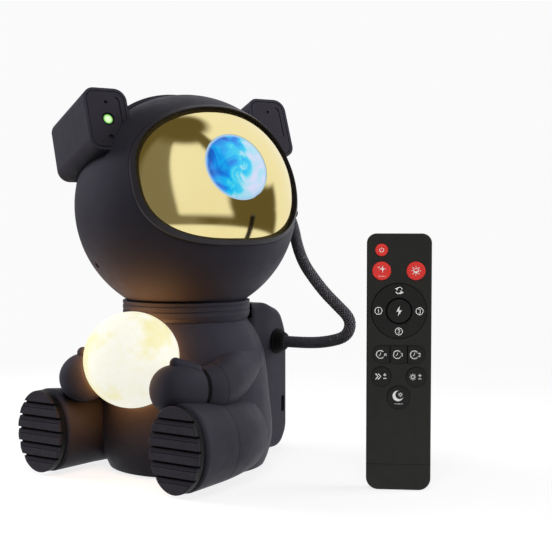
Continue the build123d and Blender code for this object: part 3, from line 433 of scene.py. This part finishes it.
def dress_lens():
    material, tree, shader, place = finish_for("nebula_glass")
    along = head_left * 0.9 - head_up * 0.35
    across = vectors(tree, "DOT_PRODUCT", place, along / (2 * lens_radius))
    middle = along.dot(lens_front) / (2 * lens_radius)
    cloud = put(tree, "TexNoise", [(place, "Vector")])
    cloud.inputs["Scale"].default_value = 85.0
    cloud.inputs["Detail"].default_value = 6.0
    cloud.inputs["Distortion"].default_value = 1.2
    shift = sums(tree, "MULTIPLY_ADD", cloud.outputs["Fac"], cloud_contrast, across)
    level = sums(tree, "SUBTRACT", shift, middle + cloud_shift)
    ramp = put(tree, "ValToRGB", [(level, "Fac")])
    stops = ramp.color_ramp.elements
    stops[0].color = (0.0, 0.10, 0.50, 1)
    stops[1].color = (0.74, 0.76, 0.95, 1)
    for position, colour in (
        (0.20, (0.0, 0.22, 0.80, 1)),
        (0.42, (0.0, 0.50, 0.95, 1)),
        (0.56, (0.04, 0.68, 0.90, 1)),
        (0.72, (0.42, 0.80, 0.92, 1)),
    ):
        stops.new(position).color = colour
    offset, radius = off_axis(tree, place, lens_front)
    edge = step_between(tree, radius, lens_radius * 0.90, lens_radius * 0.99)
    lit = tint(tree, edge, ramp.outputs[0], (0.45, 0.66, 0.85))
    tree.links.new(lit, shader.inputs["Emission Color"])
    shader.inputs["Emission Strength"].default_value = 0.86
    shader.inputs["Base Color"].default_value = (0.01, 0.03, 0.08, 1)
    roughen(tree, shader, place, 60.0, 0.04, 0.08)
    shader.inputs["Specular IOR Level"].default_value = 0.4
    wear(material, "projection_lens")


dress_lens()

# ---------------------------------------------------------------- green laser in the right ear
# A brass laser module, whose moulded lens glows green behind the aperture in the ear's plate. It is held
# inside the right ear's housing.

ear_across = 0.05299
ear_above = 0.0414
ear_front = 0.0245
ear_aperture = head_middle - head_left * ear_across + head_up * ear_above + head_forward * ear_front
glow_radius = 0.0028
glow_front = (-0.0090, -0.0085)


def dress_laser():
    material, tree, shader, place = finish_for("laser_module_finish")
    offset, radius = off_axis(tree, place, ear_aperture)
    front = step_between(tree, vectors(tree, "DOT_PRODUCT", offset, head_forward), *glow_front)
    inside = sums(tree, "MULTIPLY", step_between(tree, radius, glow_radius, glow_radius * 0.86), front)
    core = step_between(tree, radius, glow_radius * 0.9, glow_radius * 0.5)
    tree.links.new(tint(tree, core, (0.20, 0.70, 0.08), (0.76, 0.98, 0.58)), shader.inputs["Emission Color"])
    tree.links.new(inside, shader.inputs["Emission Strength"])
    drift = spread(tree, grain(tree, place, 400.0), 0.8, 1.0)
    brass = tint(tree, drift, (0.3, 0.2, 0.08), (0.75, 0.57, 0.27))
    tree.links.new(tint(tree, front, brass, (0.004, 0.012, 0.003)), shader.inputs["Base Color"])
    tree.links.new(sums(tree, "SUBTRACT", 1.0, front), shader.inputs["Metallic"])
    shader.inputs["Roughness"].default_value = 0.3
    wear(material, "laser_module")


dress_laser()

# ---------------------------------------------------------------- moon lamp
# A milky plastic globe, lit from inside, with the seas and craters of the moon moulded on it. It sits over
# its lamp, between the astronaut's hands.

moon_low, moon_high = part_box("moon_globe")
moon_middle = (Vector(moon_low) + Vector(moon_high)) / 2
moon_radius = (moon_high[0] - moon_low[0]) / 2
lamp_power = 0.22
lamp_margin = 0.001
sea_edge = (0.34, 0.53)
crater_edge = (0.14, 0.24)


def dress_moon():
    material, tree, shader, place = finish_for("lit_globe")
    seas = step_between(tree, grain(tree, place, 42.0, 6.0), *sea_edge)
    speckle = spread(tree, grain(tree, place, 260.0, 3.0), 0, 1)
    level = sums(tree, "MULTIPLY_ADD", speckle, 0.22, sums(tree, "MULTIPLY", seas, 0.78))
    craters = put(tree, "TexVoronoi", [(place, "Vector")], feature="F1")
    craters.inputs["Scale"].default_value = 95.0
    floors = step_between(tree, craters.outputs["Distance"], *crater_edge)
    rings = sums(tree, "SUBTRACT", 1.0, sums(tree, "ABSOLUTE", sums(tree, "SUBTRACT", floors, 0.5)))
    level = sums(tree, "MULTIPLY", level, sums(tree, "MULTIPLY_ADD", floors, 0.18, 0.82))
    tree.links.new(tint(tree, level, (0.90, 0.83, 0.40), (0.98, 0.98, 0.90)), shader.inputs["Emission Color"])
    shader.inputs["Emission Strength"].default_value = 0.86
    shader.inputs["Base Color"].default_value = (0.20, 0.195, 0.17, 1)
    tree.links.new(spread(tree, seas, 0.5, 0.7), shader.inputs["Roughness"])
    bump(tree, shader, sums(tree, "MULTIPLY_ADD", rings, 0.4, level), 0.0005, 0.6)
    wear(material, "moon_globe")
    lamp = bpy.data.lights.new("moon_light", "POINT")
    lamp.energy = lamp_power
    lamp.color = (1.0, 0.40, 0.07)
    lamp.use_soft_falloff = False
    lamp.shadow_soft_size = moon_radius + lamp_margin
    holder = bpy.data.objects.new("moon_light", lamp)
    holder.location = moon_middle
    holder.visible_glossy = False
    bpy.context.scene.collection.objects.link(holder)
    unlit = bpy.data.collections.new("not_lit_by_its_own_lamp")
    unlit.objects.link(nodes["moon_globe"])
    unlit.collection_objects[0].light_linking.link_state = "EXCLUDE"
    holder.light_linking.receiver_collection = unlit


dress_moon()

# ---------------------------------------------------------------- what the head and the body hold inside
# Lamps, a motor, a heat sink and a magnet on moulded frames, and the circuit boards, all screwed or clipped
# in. They are of plated steel, aluminium, black and white plastic, glass and laminate.


def plain_metal(name, colour, roughness):
    material, tree, shader, place = finish_for(name)
    shader.inputs["Metallic"].default_value = 1.0
    drift = spread(tree, grain(tree, place, 120.0), 0.85, 1.0)
    tree.links.new(tint(tree, drift, (0, 0, 0), colour), shader.inputs["Base Color"])
    roughen(tree, shader, place, 300.0, roughness * 0.8, roughness * 1.2)
    return material


steel = plain_metal("zinc_plated_steel", (0.62, 0.62, 0.65), 0.35)
aluminium = plain_metal("extruded_aluminium", (0.72, 0.73, 0.75), 0.4)
inner_plastic = moulded_plastic("inner_plastic", (0.02, 0.02, 0.02), (0.03, 0.03, 0.03))
lamp_white = moulded_plastic("lamp_white", (0.8, 0.8, 0.78), (0.88, 0.88, 0.86))
board_green = moulded_plastic("board_green", (0.01, 0.09, 0.04), (0.015, 0.13, 0.06), roughness=(0.3, 0.4))
clear_glass = moulded_plastic(
    "clear_glass", (0.7, 0.75, 0.8), (0.8, 0.85, 0.9), roughness=(0.05, 0.1), pits=0.00001, shine=0.5
)
board_black = moulded_plastic(
    "board_black", (0.004, 0.006, 0.005), (0.006, 0.009, 0.007), roughness=(0.7, 0.8), pits=0.00002, shine=0.1
)
wear(steel, "nebula_motor", "seat_plate", "neck_magnet", "usb_socket", "remote_battery")
wear(aluminium, "led_heat_sink")
wear(inner_plastic, "lens_barrel", "head_frame", "collar_retainer")
wear(lamp_white, "moon_lamp")
wear(board_green, "main_circuit_board")
wear(board_black, "remote_circuit_board")
wear(clear_glass, "led_condenser", "nebula_disc")

# ---------------------------------------------------------------- remote control
# A slim case of black plastic in two halves, with silicone buttons, three of them red. The coin cell slides
# in with the end cap, on which the remote stands.

remote_black = moulded_plastic("remote_black", (0.010, 0.010, 0.0092), (0.013, 0.013, 0.012), shine=0.3,
                               roughness=(0.5, 0.62))
button_black = moulded_plastic("button_black", (0.0055, 0.006, 0.0055), (0.0075, 0.008, 0.0075), shine=0.3,
                               roughness=(0.55, 0.68), pits=0.00003)
button_red = moulded_plastic("button_red", (0.60, 0.034, 0.028), (0.68, 0.046, 0.038), shine=0.4,
                             roughness=(0.45, 0.55), pits=0.00003)
wear(remote_black, "remote_front_case", "remote_rear_case", "remote_end_cap")
wear(button_black, "speed_button", "brightness_button", "night_button", "direction_ring", "centre_button")
wear(button_black, "timer_button_1", "timer_button_2", "timer_button_3")
wear(button_red, "power_button", "star_button", "nebula_button")

# ---------------------------------------------------------------- symbols on the buttons
# Screen-printed in white ink, a few hundredths of a millimetre thick: plain symbols and numbers, drawn in
# millimetres from the middle of each button and laid on its face.

millimetre = 0.001
ink_height = 0.00004
ink_join = 0.000002
remote_foot = Vector((0.1328, 0.0121, 0))
remote_turn = radians(27.5)
remote_right = Vector((cos(remote_turn), sin(remote_turn), 0))
remote_normal = Vector((sin(remote_turn), -cos(remote_turn), 0))
remote_height = 0.1353
button_top = 0.0052
upward = Vector((0, 0, 1))


def make_ink():
    material, tree, shader, place = finish_for("white_ink")
    wear_and_groove_shade = spread(tree, grain(tree, place, 1400.0, 3.0), 0, 1)
    tree.links.new(tint(tree, wear_and_groove_shade, (0.70, 0.70, 0.68), (0.86, 0.86, 0.84)), shader.inputs["Base Color"])
    roughen(tree, shader, place, 700.0, 0.5, 0.65)
    return material


white_ink = make_ink()


def arc(radius, start, end, middle=(0, 0), count=20):
    """Points along an arc, from one angle to another in degrees."""
    turns = [radians(start + (end - start) * index / count) for index in range(count + 1)]
    return [(middle[0] + radius * cos(turn), middle[1] + radius * sin(turn)) for turn in turns]


def stroke(points, width):
    """The outline of a pen stroke along some points, as one closed polygon."""
    line = [Vector(point) for point in points]
    left, right = [], []
    for index, point in enumerate(line):
        before = line[max(index - 1, 0)]
        after = line[min(index + 1, len(line) - 1)]
        along = (after - before).normalized()
        out = Vector((-along.y, along.x)) * width / 2
        left.append(point + out)
        right.append(point - out)
    return [*zip(left, left[1:], right[1:], right)]


def solid(points):
    """A filled shape, as triangles from its middle."""
    line = [Vector(point) for point in points]
    middle = sum(line, Vector((0, 0))) / len(line)
    return [(middle, start, end) for start, end in zip(line, [*line[1:], line[0]])]


def print_symbol(name, shapes, middle, right, normal, body):
    """Lay a symbol's polygons on a button's face, raised by the ink's thickness, and let them ride on it."""
    form = bmesh.new()
    for polygons in shapes:
        for polygon in polygons:
            corners = [middle + right * x * millimetre + upward * y * millimetre for x, y in polygon]
            form.faces.new([form.verts.new(corner) for corner in corners])
    bmesh.ops.remove_doubles(form, verts=form.verts, dist=ink_join)
    flat = [*form.verts, *form.edges, *form.faces]
    raised = bmesh.ops.extrude_face_region(form, geom=flat, use_keep_orig=True)["geom"]
    for vertex in raised:
        if isinstance(vertex, bmesh.types.BMVert):
            vertex.co += normal * ink_height
    bmesh.ops.recalc_face_normals(form, faces=form.faces)
    mesh = bpy.data.meshes.new(name)
    form.to_mesh(mesh)
    form.free()
    mesh.materials.append(white_ink)
    symbol = bpy.data.objects.new(name, mesh)
    bpy.context.scene.collection.objects.link(symbol)
    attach(symbol, body)


def moved(shapes, across, up):
    """The same shapes, shifted on the button."""
    shift = Vector((across, up))
    return [
        [tuple(Vector(point) + shift for point in polygon) for polygon in polygons]
        for polygons in shapes
    ]


def sparkle(size, waist=0.22):
    """A four-pointed star."""
    points = []
    for index in range(8):
        reach = size if index % 2 == 0 else size * waist
        points.append((reach * sin(pi * index / 4), reach * cos(pi * index / 4)))
    return solid(points)


def spoke(turn, inner, outer, width):
    """A short stroke outwards from a middle, at an angle in radians."""
    return stroke([(reach * cos(turn), reach * sin(turn)) for reach in (inner, outer)], width)


def row_of_dots(count, pitch, up, size=0.17):
    dots = []
    for index in range(count):
        dots.append(solid(arc(size, 0, 330, ((index - (count - 1) / 2) * pitch, up), 11)))
    return dots


def little_sun(radius, width, rays=8):
    """A ring with short rays."""
    turns = [2 * pi * index / rays for index in range(rays)]
    outwards = [spoke(turn, radius * 1.45, radius * 2.0, width) for turn in turns]
    return [stroke(arc(radius, 0, 360), width), *outwards]


def clock_face(radius, hours=12):
    """A clock with ticks inside its rim, open at its right."""
    ticks = [spoke(2 * pi * hour / hours, radius * 0.74, radius * 0.95, 0.14) for hour in range(1, hours)]
    hands = stroke([(-0.72, -0.62), (0, 0), (0.15, 1.0)], 0.3)
    return [stroke(arc(radius, 42, 318, count=30), 0.34), *ticks, hands]


one = [stroke([(-0.42, 0.55), (0.05, 0.95), (0.05, -0.95)], 0.36)]
two = [stroke([*arc(0.55, 160, -40, (0, 0.42), 12), (-0.58, -0.9), (0.65, -0.9)], 0.34)]
three = [stroke([*arc(0.48, 150, -75, (-0.02, 0.46), 10), *arc(0.54, 80, -150, (0, -0.45), 12)], 0.32)]
ring = [stroke(arc(1.85, 0, 360, count=36), 0.36)]
plus_minus = [
    stroke([(-0.8, 0.75), (0.8, 0.75)], 0.4),
    stroke([(0, 1.55), (0, -0.05)], 0.4),
    stroke([(-0.8, -1.0), (0.8, -1.0)], 0.4),
]
power_mark = [stroke(arc(1.05, 125, 415, count=28), 0.3), stroke([(0, 0.35), (0, 1.35)], 0.3)]
star_mark = [*moved([sparkle(2.0)], 0.5, 1.1), *moved([sparkle(0.8)], -1.5, 2.0), *row_of_dots(7, 0.62, -2.7)]
half_disc = solid(arc(0.95, 195, 345, (0, 0.1), 14))
nebula_mark = [*moved(little_sun(1.25, 0.34), 0, 0.1), half_disc]
turning_mark = [
    stroke(arc(1.35, 10, 150, (0.3, 0.2), 18), 0.4),
    solid([(-2.2, 0.75), (-0.75, 1.6), (-0.75, -0.1)]),
    stroke(arc(1.35, 190, 330, (-0.3, -0.4), 18), 0.5),
    solid([(2.3, -1.1), (0.7, -0.1), (0.7, -2.1)]),
]
bolt_mark = [solid([(0.35, 2.6), (-1.5, -0.35), (-0.2, -0.2), (-0.55, -2.7), (1.5, 0.45), (0.15, 0.3)])]
cross_mark = [stroke([(-0.6, -0.6), (0.6, 0.6)], 0.32), stroke([(-0.6, 0.6), (0.6, -0.6)], 0.32)]
speed_mark = [stroke([(left, 1.5), (left + 1.3, 0.0), (left, -1.5)], 0.5) for left in (-1.3, 0.0)]
clock = clock_face(2.1)


def crescent_strips():
    """The night symbol's crescent, filled in strips between its outer and inner edges."""
    outer = [Vector(point) for point in arc(2.8, 80, 335, (0, 0), 30)]
    inner = [Vector(point) for point in arc(2.25, 88, 327, (0.9, 0.58), 30)]
    return [*zip(outer, outer[1:], inner[1:], inner)]


night_mark = [*moved([crescent_strips()], -0.3, 0.8), *moved(little_sun(0.62, 0.24), 0.95, 1.5)]
night_mark += row_of_dots(7, 0.66, -3.4, 0.2)

# Each symbol's shapes, its place across the remote's middle and below its top in millimetres, and its button.
on_remote = {
    "power_symbol": (power_mark, -9.2, 8.6, "power_button"),
    "star_symbol": (star_mark, -9.1, 19.6, "star_button"),
    "nebula_symbol": (nebula_mark, 8.7, 19.5, "nebula_button"),
    "centre_symbol": (bolt_mark, 0, 40.5, "centre_button"),
    "timer_off_symbol": ([*clock, *moved(cross_mark, 2.6, -0.1)], -9.6, 63.4, "timer_button_1"),
    "timer_one_symbol": ([*clock, *moved(one, 2.4, -0.1)], -0.7, 63.4, "timer_button_2"),
    "timer_two_symbol": ([*clock, *moved(two, 2.6, -0.1)], 8.1, 63.4, "timer_button_3"),
    "speed_symbol": ([*moved(speed_mark, -1.6, 0), *moved(plus_minus, 1.9, 0.1)], -9.1, 75.1, "speed_button"),
    "brightness_symbol": (
        [*moved(little_sun(0.85, 0.34), -1.7, 0), *moved(plus_minus, 2.0, 0.1)],
        9.1,
        75.1,
        "brightness_button",
    ),
    "night_symbol": (night_mark, 0, 86.0, "night_button"),
}
ring_marks = [*moved(turning_mark, 0, 10.9), *moved([*ring, *one], -10.7, 0), *moved([*ring, *two], 0, -10.7)]
ring_marks += moved([*ring, *three], 10.7, 0)
on_remote["ring_symbols"] = (ring_marks, 0, 40.5, "direction_ring")
for name, (shapes, across, drop, body) in on_remote.items():
    middle = remote_foot + remote_right * across * millimetre + upward * (remote_height - drop * millimetre)
    print_symbol(name, shapes, middle + remote_normal * button_top, remote_right, remote_normal, body)

# A small soft box of its own lights the remote's face.
remote_pieces = bpy.data.collections.new("remote_pieces")
remote_starts = ("remote_", "ring_", "direction_ring")
for piece in bpy.data.objects:
    if piece.name.startswith(remote_starts) or any(word in piece.name for word in ("button", "symbol")):
        remote_pieces.objects.link(piece)
remote_middle = remote_foot + upward * remote_height / 2
box_place = remote_middle + remote_normal * 0.85 + upward * 0.3
face_box = hang_lamp("face_box", box_place, remote_middle, (0.3, 0.3), 4.6)
face_box.light_linking.receiver_collection = remote_pieces

# ---------------------------------------------------------------- backpack cover
# A screwed cover with three soft keys, for power, stars and the lamp. Four cross-head screws of blackened
# steel hold it; their heads and recesses repeat, so one tree of nodes makes all four.

backward = Vector((0, 1, 0))
from_behind = Vector((-1, 0, 0))
screw_spacing = (0.038, 0.042)
head_facets = 28
recess_lift = 0.3
on_keys = {
    "backpack_key_1": little_sun(0.85, 0.3),
    "backpack_key_2": [sparkle(2.0)],
    "backpack_key_3": power_mark,
}
for key, shapes in on_keys.items():
    low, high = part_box(key)
    middle = Vector(((low[0] + high[0]) / 2, high[1], (low[2] + high[2]) / 2))
    print_symbol(key + "_symbol", shapes, middle, from_behind, backward, key)


def add_node(tree, kind, links=(), **properties):
    """Add a geometry node, set its properties, and link sockets or set numbers into its inputs."""
    node = tree.nodes.new(kind)
    for name, value in properties.items():
        setattr(node, name, value)
    for source, target in links:
        if isinstance(source, bpy.types.NodeSocket):
            tree.links.new(source, node.inputs[target])
        else:
            node.inputs[target].default_value = source
    return node


def start_tree(name, sizes):
    """A geometry tree with a geometry input and output, and a named input for each size or finish."""
    tree = bpy.data.node_groups.new(name, "GeometryNodeTree")
    tree.interface.new_socket("Geometry", in_out="INPUT", socket_type="NodeSocketGeometry")
    tree.interface.new_socket("Geometry", in_out="OUTPUT", socket_type="NodeSocketGeometry")
    for label, value in sizes.items():
        kind = "NodeSocketMaterial" if isinstance(value, bpy.types.Material) else "NodeSocketFloat"
        tree.interface.new_socket(label, in_out="INPUT", socket_type=kind)
    return tree, tree.nodes.new("NodeGroupInput").outputs, tree.nodes.new("NodeGroupOutput")


def grow(name, mesh, tree, sizes):
    """Run a geometry tree on a mesh and keep what it makes as a plain mesh object."""
    host = bpy.data.objects.new(name, mesh)
    modifier = host.modifiers.new(name, "NODES")
    modifier.node_group = tree
    for socket in tree.interface.items_tree:
        if socket.name in sizes:
            modifier[socket.identifier] = sizes[socket.name]
    bpy.context.scene.collection.objects.link(host)
    grown = bpy.data.meshes.new_from_object(host.evaluated_get(bpy.context.evaluated_depsgraph_get()))
    bpy.data.objects.remove(host)
    piece = bpy.data.objects.new(name, grown)
    bpy.context.scene.collection.objects.link(piece)
    return piece


def make_screws(name, middle, spacing, facing):
    """Four screws at the corners of a rectangle, their heads a little proud of the face they hold."""
    black_steel = plain_metal("blackened_screw_steel", (0.085, 0.085, 0.09), 0.42)
    sizes = {
        "Head radius": 0.0017,
        "Head height": 0.0005,
        "Recess length": 0.0023,
        "Recess width": 0.00065,
        "Spacing across": spacing[0],
        "Spacing up": spacing[1],
        "Finish": black_steel,
    }
    tree, given, output = start_tree("cross_head_screws", sizes)
    height = given["Head height"]
    disc = [(head_facets, "Vertices"), (given["Head radius"], "Radius"), (height, "Depth")]
    head = add_node(tree, "GeometryNodeMeshCylinder", disc)
    cross = add_node(tree, "GeometryNodeJoinGeometry")
    for across, up in (("Recess length", "Recess width"), ("Recess width", "Recess length")):
        size = add_node(tree, "ShaderNodeCombineXYZ", [(given[across], "X"), (given[up], "Y"), (height, "Z")])
        bar = add_node(tree, "GeometryNodeMeshCube", [(size.outputs[0], "Size")])
        tree.links.new(bar.outputs[0], cross.inputs[0])
    lift = add_node(tree, "ShaderNodeMath", [(height, 0), (recess_lift, 1)], operation="MULTIPLY")
    lift = add_node(tree, "ShaderNodeCombineXYZ", [(lift.outputs[0], "Z")])
    raised = [(cross.outputs[0], "Geometry"), (lift.outputs[0], "Translation")]
    cutter = add_node(tree, "GeometryNodeTransform", raised)
    cut = add_node(tree, "GeometryNodeMeshBoolean", operation="DIFFERENCE", solver="EXACT")
    cut.inputs["Self Intersection"].default_value = True
    tree.links.new(head.outputs["Mesh"], cut.inputs[0])
    tree.links.new(cutter.outputs[0], cut.inputs[1])
    corners = [(given["Spacing across"], "Size X"), (given["Spacing up"], "Size Y")]
    grid = add_node(tree, "GeometryNodeMeshGrid", [*corners, (2, "Vertices X"), (2, "Vertices Y")])
    spots = add_node(tree, "GeometryNodeMeshToPoints", [(grid.outputs["Mesh"], "Mesh")])
    copied = [(spots.outputs[0], "Points"), (cut.outputs[0], "Instance")]
    four = add_node(tree, "GeometryNodeInstanceOnPoints", copied)
    turned = [(four.outputs[0], "Geometry"), (middle, "Translation"), (facing, "Rotation")]
    placed = add_node(tree, "GeometryNodeTransform", turned)
    real = add_node(tree, "GeometryNodeRealizeInstances", [(placed.outputs[0], 0)])
    done = add_node(tree, "GeometryNodeSetMaterial", [(real.outputs[0], 0), (given["Finish"], "Material")])
    tree.links.new(done.outputs[0], output.inputs[0])
    return grow(name, bpy.data.meshes.new(name), tree, sizes)


cover_low, cover_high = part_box("backpack_cover")
cover_middle = (0, cover_high[1], (cover_low[2] + cover_high[2]) / 2)
cover_screws = make_screws("cover_screws", cover_middle, screw_spacing, (-pi / 2, 0, 0))
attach(cover_screws, "torso")

# ---------------------------------------------------------------- hose
# A braided sleeve over a soft tube, from the gland in the backpack's side to the elbow on the helmet. It
# is made in two lengths, which meet between two of its points.

hose_radius = 0.0035
gland_mouth = (0.0370, 0.0488, 0.0693)
hose_points = [
    gland_mouth,
    (0.0484, 0.0488, 0.0693),
    (0.0602, 0.0490, 0.0699),
    (0.0705, 0.0493, 0.0717),
    (0.0782, 0.0497, 0.0744),
    (0.0815, 0.0500, 0.0796),
    (0.0806, 0.0503, 0.0857),
    (0.0727, 0.0506, 0.0921),
    (0.0636, 0.0508, 0.0996),
    (0.0558, 0.0510, 0.1078),
    (0.0484, 0.0513, 0.1166),
    (0.0424, 0.0532, 0.1276),
    (0.0382, 0.0562, 0.1380),
]
hose_join = 8
elbow_reach = 0.070
elbow_leg = 0.008
strand_sides = 6
core_sides = 28
elbow_middle = head_middle + head_left * elbow_reach
hose_end = elbow_middle + (Vector(hose_points[-1]) - elbow_middle).normalized() * elbow_leg
join_point = (Vector(hose_points[hose_join]) + Vector(hose_points[hose_join + 1])) / 2


def make_yarn():
    """Twisted polyester yarn: black, with the odd grey filament, and a soft sheen."""
    material, tree, shader, place = finish_for("black_yarn")
    fibre = spread(tree, grain(tree, place, 2600.0, 2.0), 0, 1)
    fleck = step_between(tree, grain(tree, place, 900.0, 2.0), 0.56, 0.68)
    level = sums(tree, "MAXIMUM", sums(tree, "MULTIPLY", fibre, 0.5), fleck)
    tree.links.new(tint(tree, level, (0.05, 0.049, 0.057), (0.27, 0.262, 0.30)), shader.inputs["Base Color"])
    tree.links.new(spread(tree, fibre, 0.6, 0.8), shader.inputs["Roughness"])
    shader.inputs["Specular IOR Level"].default_value = 0.3
    bump(tree, shader, grain(tree, place, 3800.0, 1.0), 0.00008, 0.8)
    return material


def braid_tree(sizes):
    """Flat strands wound both ways round a tube, over and under each other."""
    tree, given, output = start_tree("braided_sleeve", sizes)

    def number(operation, *values):
        links = [(value, index) for index, value in enumerate(values)]
        return add_node(tree, "ShaderNodeMath", links, operation=operation).outputs[0]

    def vector(operation, *links):
        return add_node(tree, "ShaderNodeVectorMath", links, operation=operation).outputs[0]

    def swept(curve, profile):
        links = [(curve.outputs[0], "Curve"), (profile.outputs[0], "Profile Curve"), (True, "Fill Caps")]
        return add_node(tree, "GeometryNodeCurveToMesh", links)

    def dressed(piece, finish):
        return add_node(tree, "GeometryNodeSetMaterial", [(piece.outputs[0], 0), (given[finish], "Material")])

    path = add_node(tree, "GeometryNodeMeshToCurve", [(given["Geometry"], "Mesh")])
    stepped = [(path.outputs[0], "Curve"), (given["Step"], "Length")]
    path = add_node(tree, "GeometryNodeResampleCurve", stepped, mode="LENGTH")
    amount = number("MULTIPLY", given["Strands each way"], 2.0)
    copied = [(path.outputs[0], "Geometry"), (amount, "Amount")]
    copies = add_node(tree, "GeometryNodeDuplicateElements", copied, domain="SPLINE")
    index = copies.outputs["Duplicate Index"]
    way = number("MULTIPLY_ADD", number("MODULO", index, 2.0), -2.0, 1.0)
    place_in_ring = number("FLOOR", number("DIVIDE", index, 2.0))
    phase = number("DIVIDE", number("MULTIPLY", place_in_ring, 2 * pi), given["Strands each way"])
    run = add_node(tree, "GeometryNodeSplineParameter").outputs["Length"]
    wound = number("DIVIDE", number("MULTIPLY", run, 2 * pi), given["Lay length"])
    angle = number("MULTIPLY_ADD", wound, way, phase)
    normal = add_node(tree, "GeometryNodeInputNormal").outputs[0]
    tangent = add_node(tree, "GeometryNodeInputTangent").outputs[0]
    side = vector("CROSS_PRODUCT", (tangent, 0), (normal, 1))
    first = vector("SCALE", (normal, 0), (number("COSINE", angle), "Scale"))
    second = vector("SCALE", (side, 0), (number("SINE", angle), "Scale"))
    outward = vector("ADD", (first, 0), (second, 1))
    turned = [(copies.outputs[0], "Curve"), (outward, "Normal")]
    facing = add_node(tree, "GeometryNodeSetCurveNormal", turned, mode="FREE")
    wave = number("COSINE", number("MULTIPLY", wound, given["Strands each way"]))
    wave = number("MULTIPLY", number("MULTIPLY", wave, way), given["Weave height"])
    depth = number("ADD", number("MULTIPLY", given["Strand thickness"], 0.5), given["Weave height"])
    reach = number("ADD", number("SUBTRACT", given["Sleeve radius"], depth), wave)
    out_again = add_node(tree, "GeometryNodeInputNormal").outputs[0]
    offset = vector("SCALE", (out_again, 0), (reach, "Scale"))
    strands = add_node(tree, "GeometryNodeSetPosition", [(facing.outputs[0], "Geometry"), (offset, "Offset")])
    ribbon = add_node(
        tree, "GeometryNodeCurvePrimitiveCircle", [(strand_sides, "Resolution"), (0.5, "Radius")]
    )
    across = [(given["Strand thickness"], "X"), (given["Strand width"], "Y"), (1.0, "Z")]
    flat = add_node(tree, "ShaderNodeCombineXYZ", across)
    flattened = [(ribbon.outputs[0], "Geometry"), (flat.outputs[0], "Scale")]
    ribbon = add_node(tree, "GeometryNodeTransform", flattened)
    braid = swept(strands, ribbon)
    inner = number("SUBTRACT", given["Sleeve radius"], number("MULTIPLY", depth, 2.0))
    core = add_node(tree, "GeometryNodeCurvePrimitiveCircle", [(core_sides, "Resolution"), (inner, "Radius")])
    core = swept(path, core)
    braid = dressed(braid, "Yarn")
    core = dressed(core, "Tube")
    both = add_node(tree, "GeometryNodeJoinGeometry")
    tree.links.new(core.outputs[0], both.inputs[0])
    tree.links.new(braid.outputs[0], both.inputs[0])
    smooth = add_node(tree, "GeometryNodeSetShadeSmooth", [(both.outputs[0], 0)])
    real = add_node(tree, "GeometryNodeRealizeInstances", [(smooth.outputs[0], 0)])
    tree.links.new(real.outputs[0], output.inputs[0])
    return tree


sleeve_sizes = {
    "Sleeve radius": hose_radius,
    "Strands each way": 11.0,
    "Lay length": 0.021,
    "Strand width": 0.00080,
    "Strand thickness": 0.00030,
    "Weave height": 0.00014,
    "Step": 0.00045,
    "Yarn": make_yarn(),
    "Tube": dark_rubber,
}
sleeve = braid_tree(sleeve_sizes)


def curve_through(name, points):
    """A smooth open curve with these control points."""
    curve = bpy.data.curves.new(name, "CURVE")
    curve.dimensions = "3D"
    curve.resolution_u = 24
    spline = curve.splines.new("NURBS")
    spline.points.add(len(points) - 1)
    for target, point in zip(spline.points, points):
        target.co = (*point, 1)
    spline.order_u = 3
    spline.use_endpoint_u = True
    return bpy.data.objects.new(name, curve)


def lay_hose(name, points):
    """One length of hose along some points, and the points of its middle line."""
    route = curve_through(name, points)
    bpy.context.scene.collection.objects.link(route)
    line = bpy.data.meshes.new_from_object(route)
    bpy.data.objects.remove(route)
    path = [vertex.co.copy() for vertex in line.vertices]
    return grow(name, line, sleeve, sleeve_sizes), path


lower_hose, lower_path = lay_hose("braided_hose_lower", [*hose_points[: hose_join + 1], join_point])
upper_hose, upper_path = lay_hose("braided_hose_upper", [join_point, *hose_points[hose_join + 1 :], hose_end])
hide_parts("hose_lower")
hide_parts("hose_upper")
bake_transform(lower_hose)
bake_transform(upper_hose)
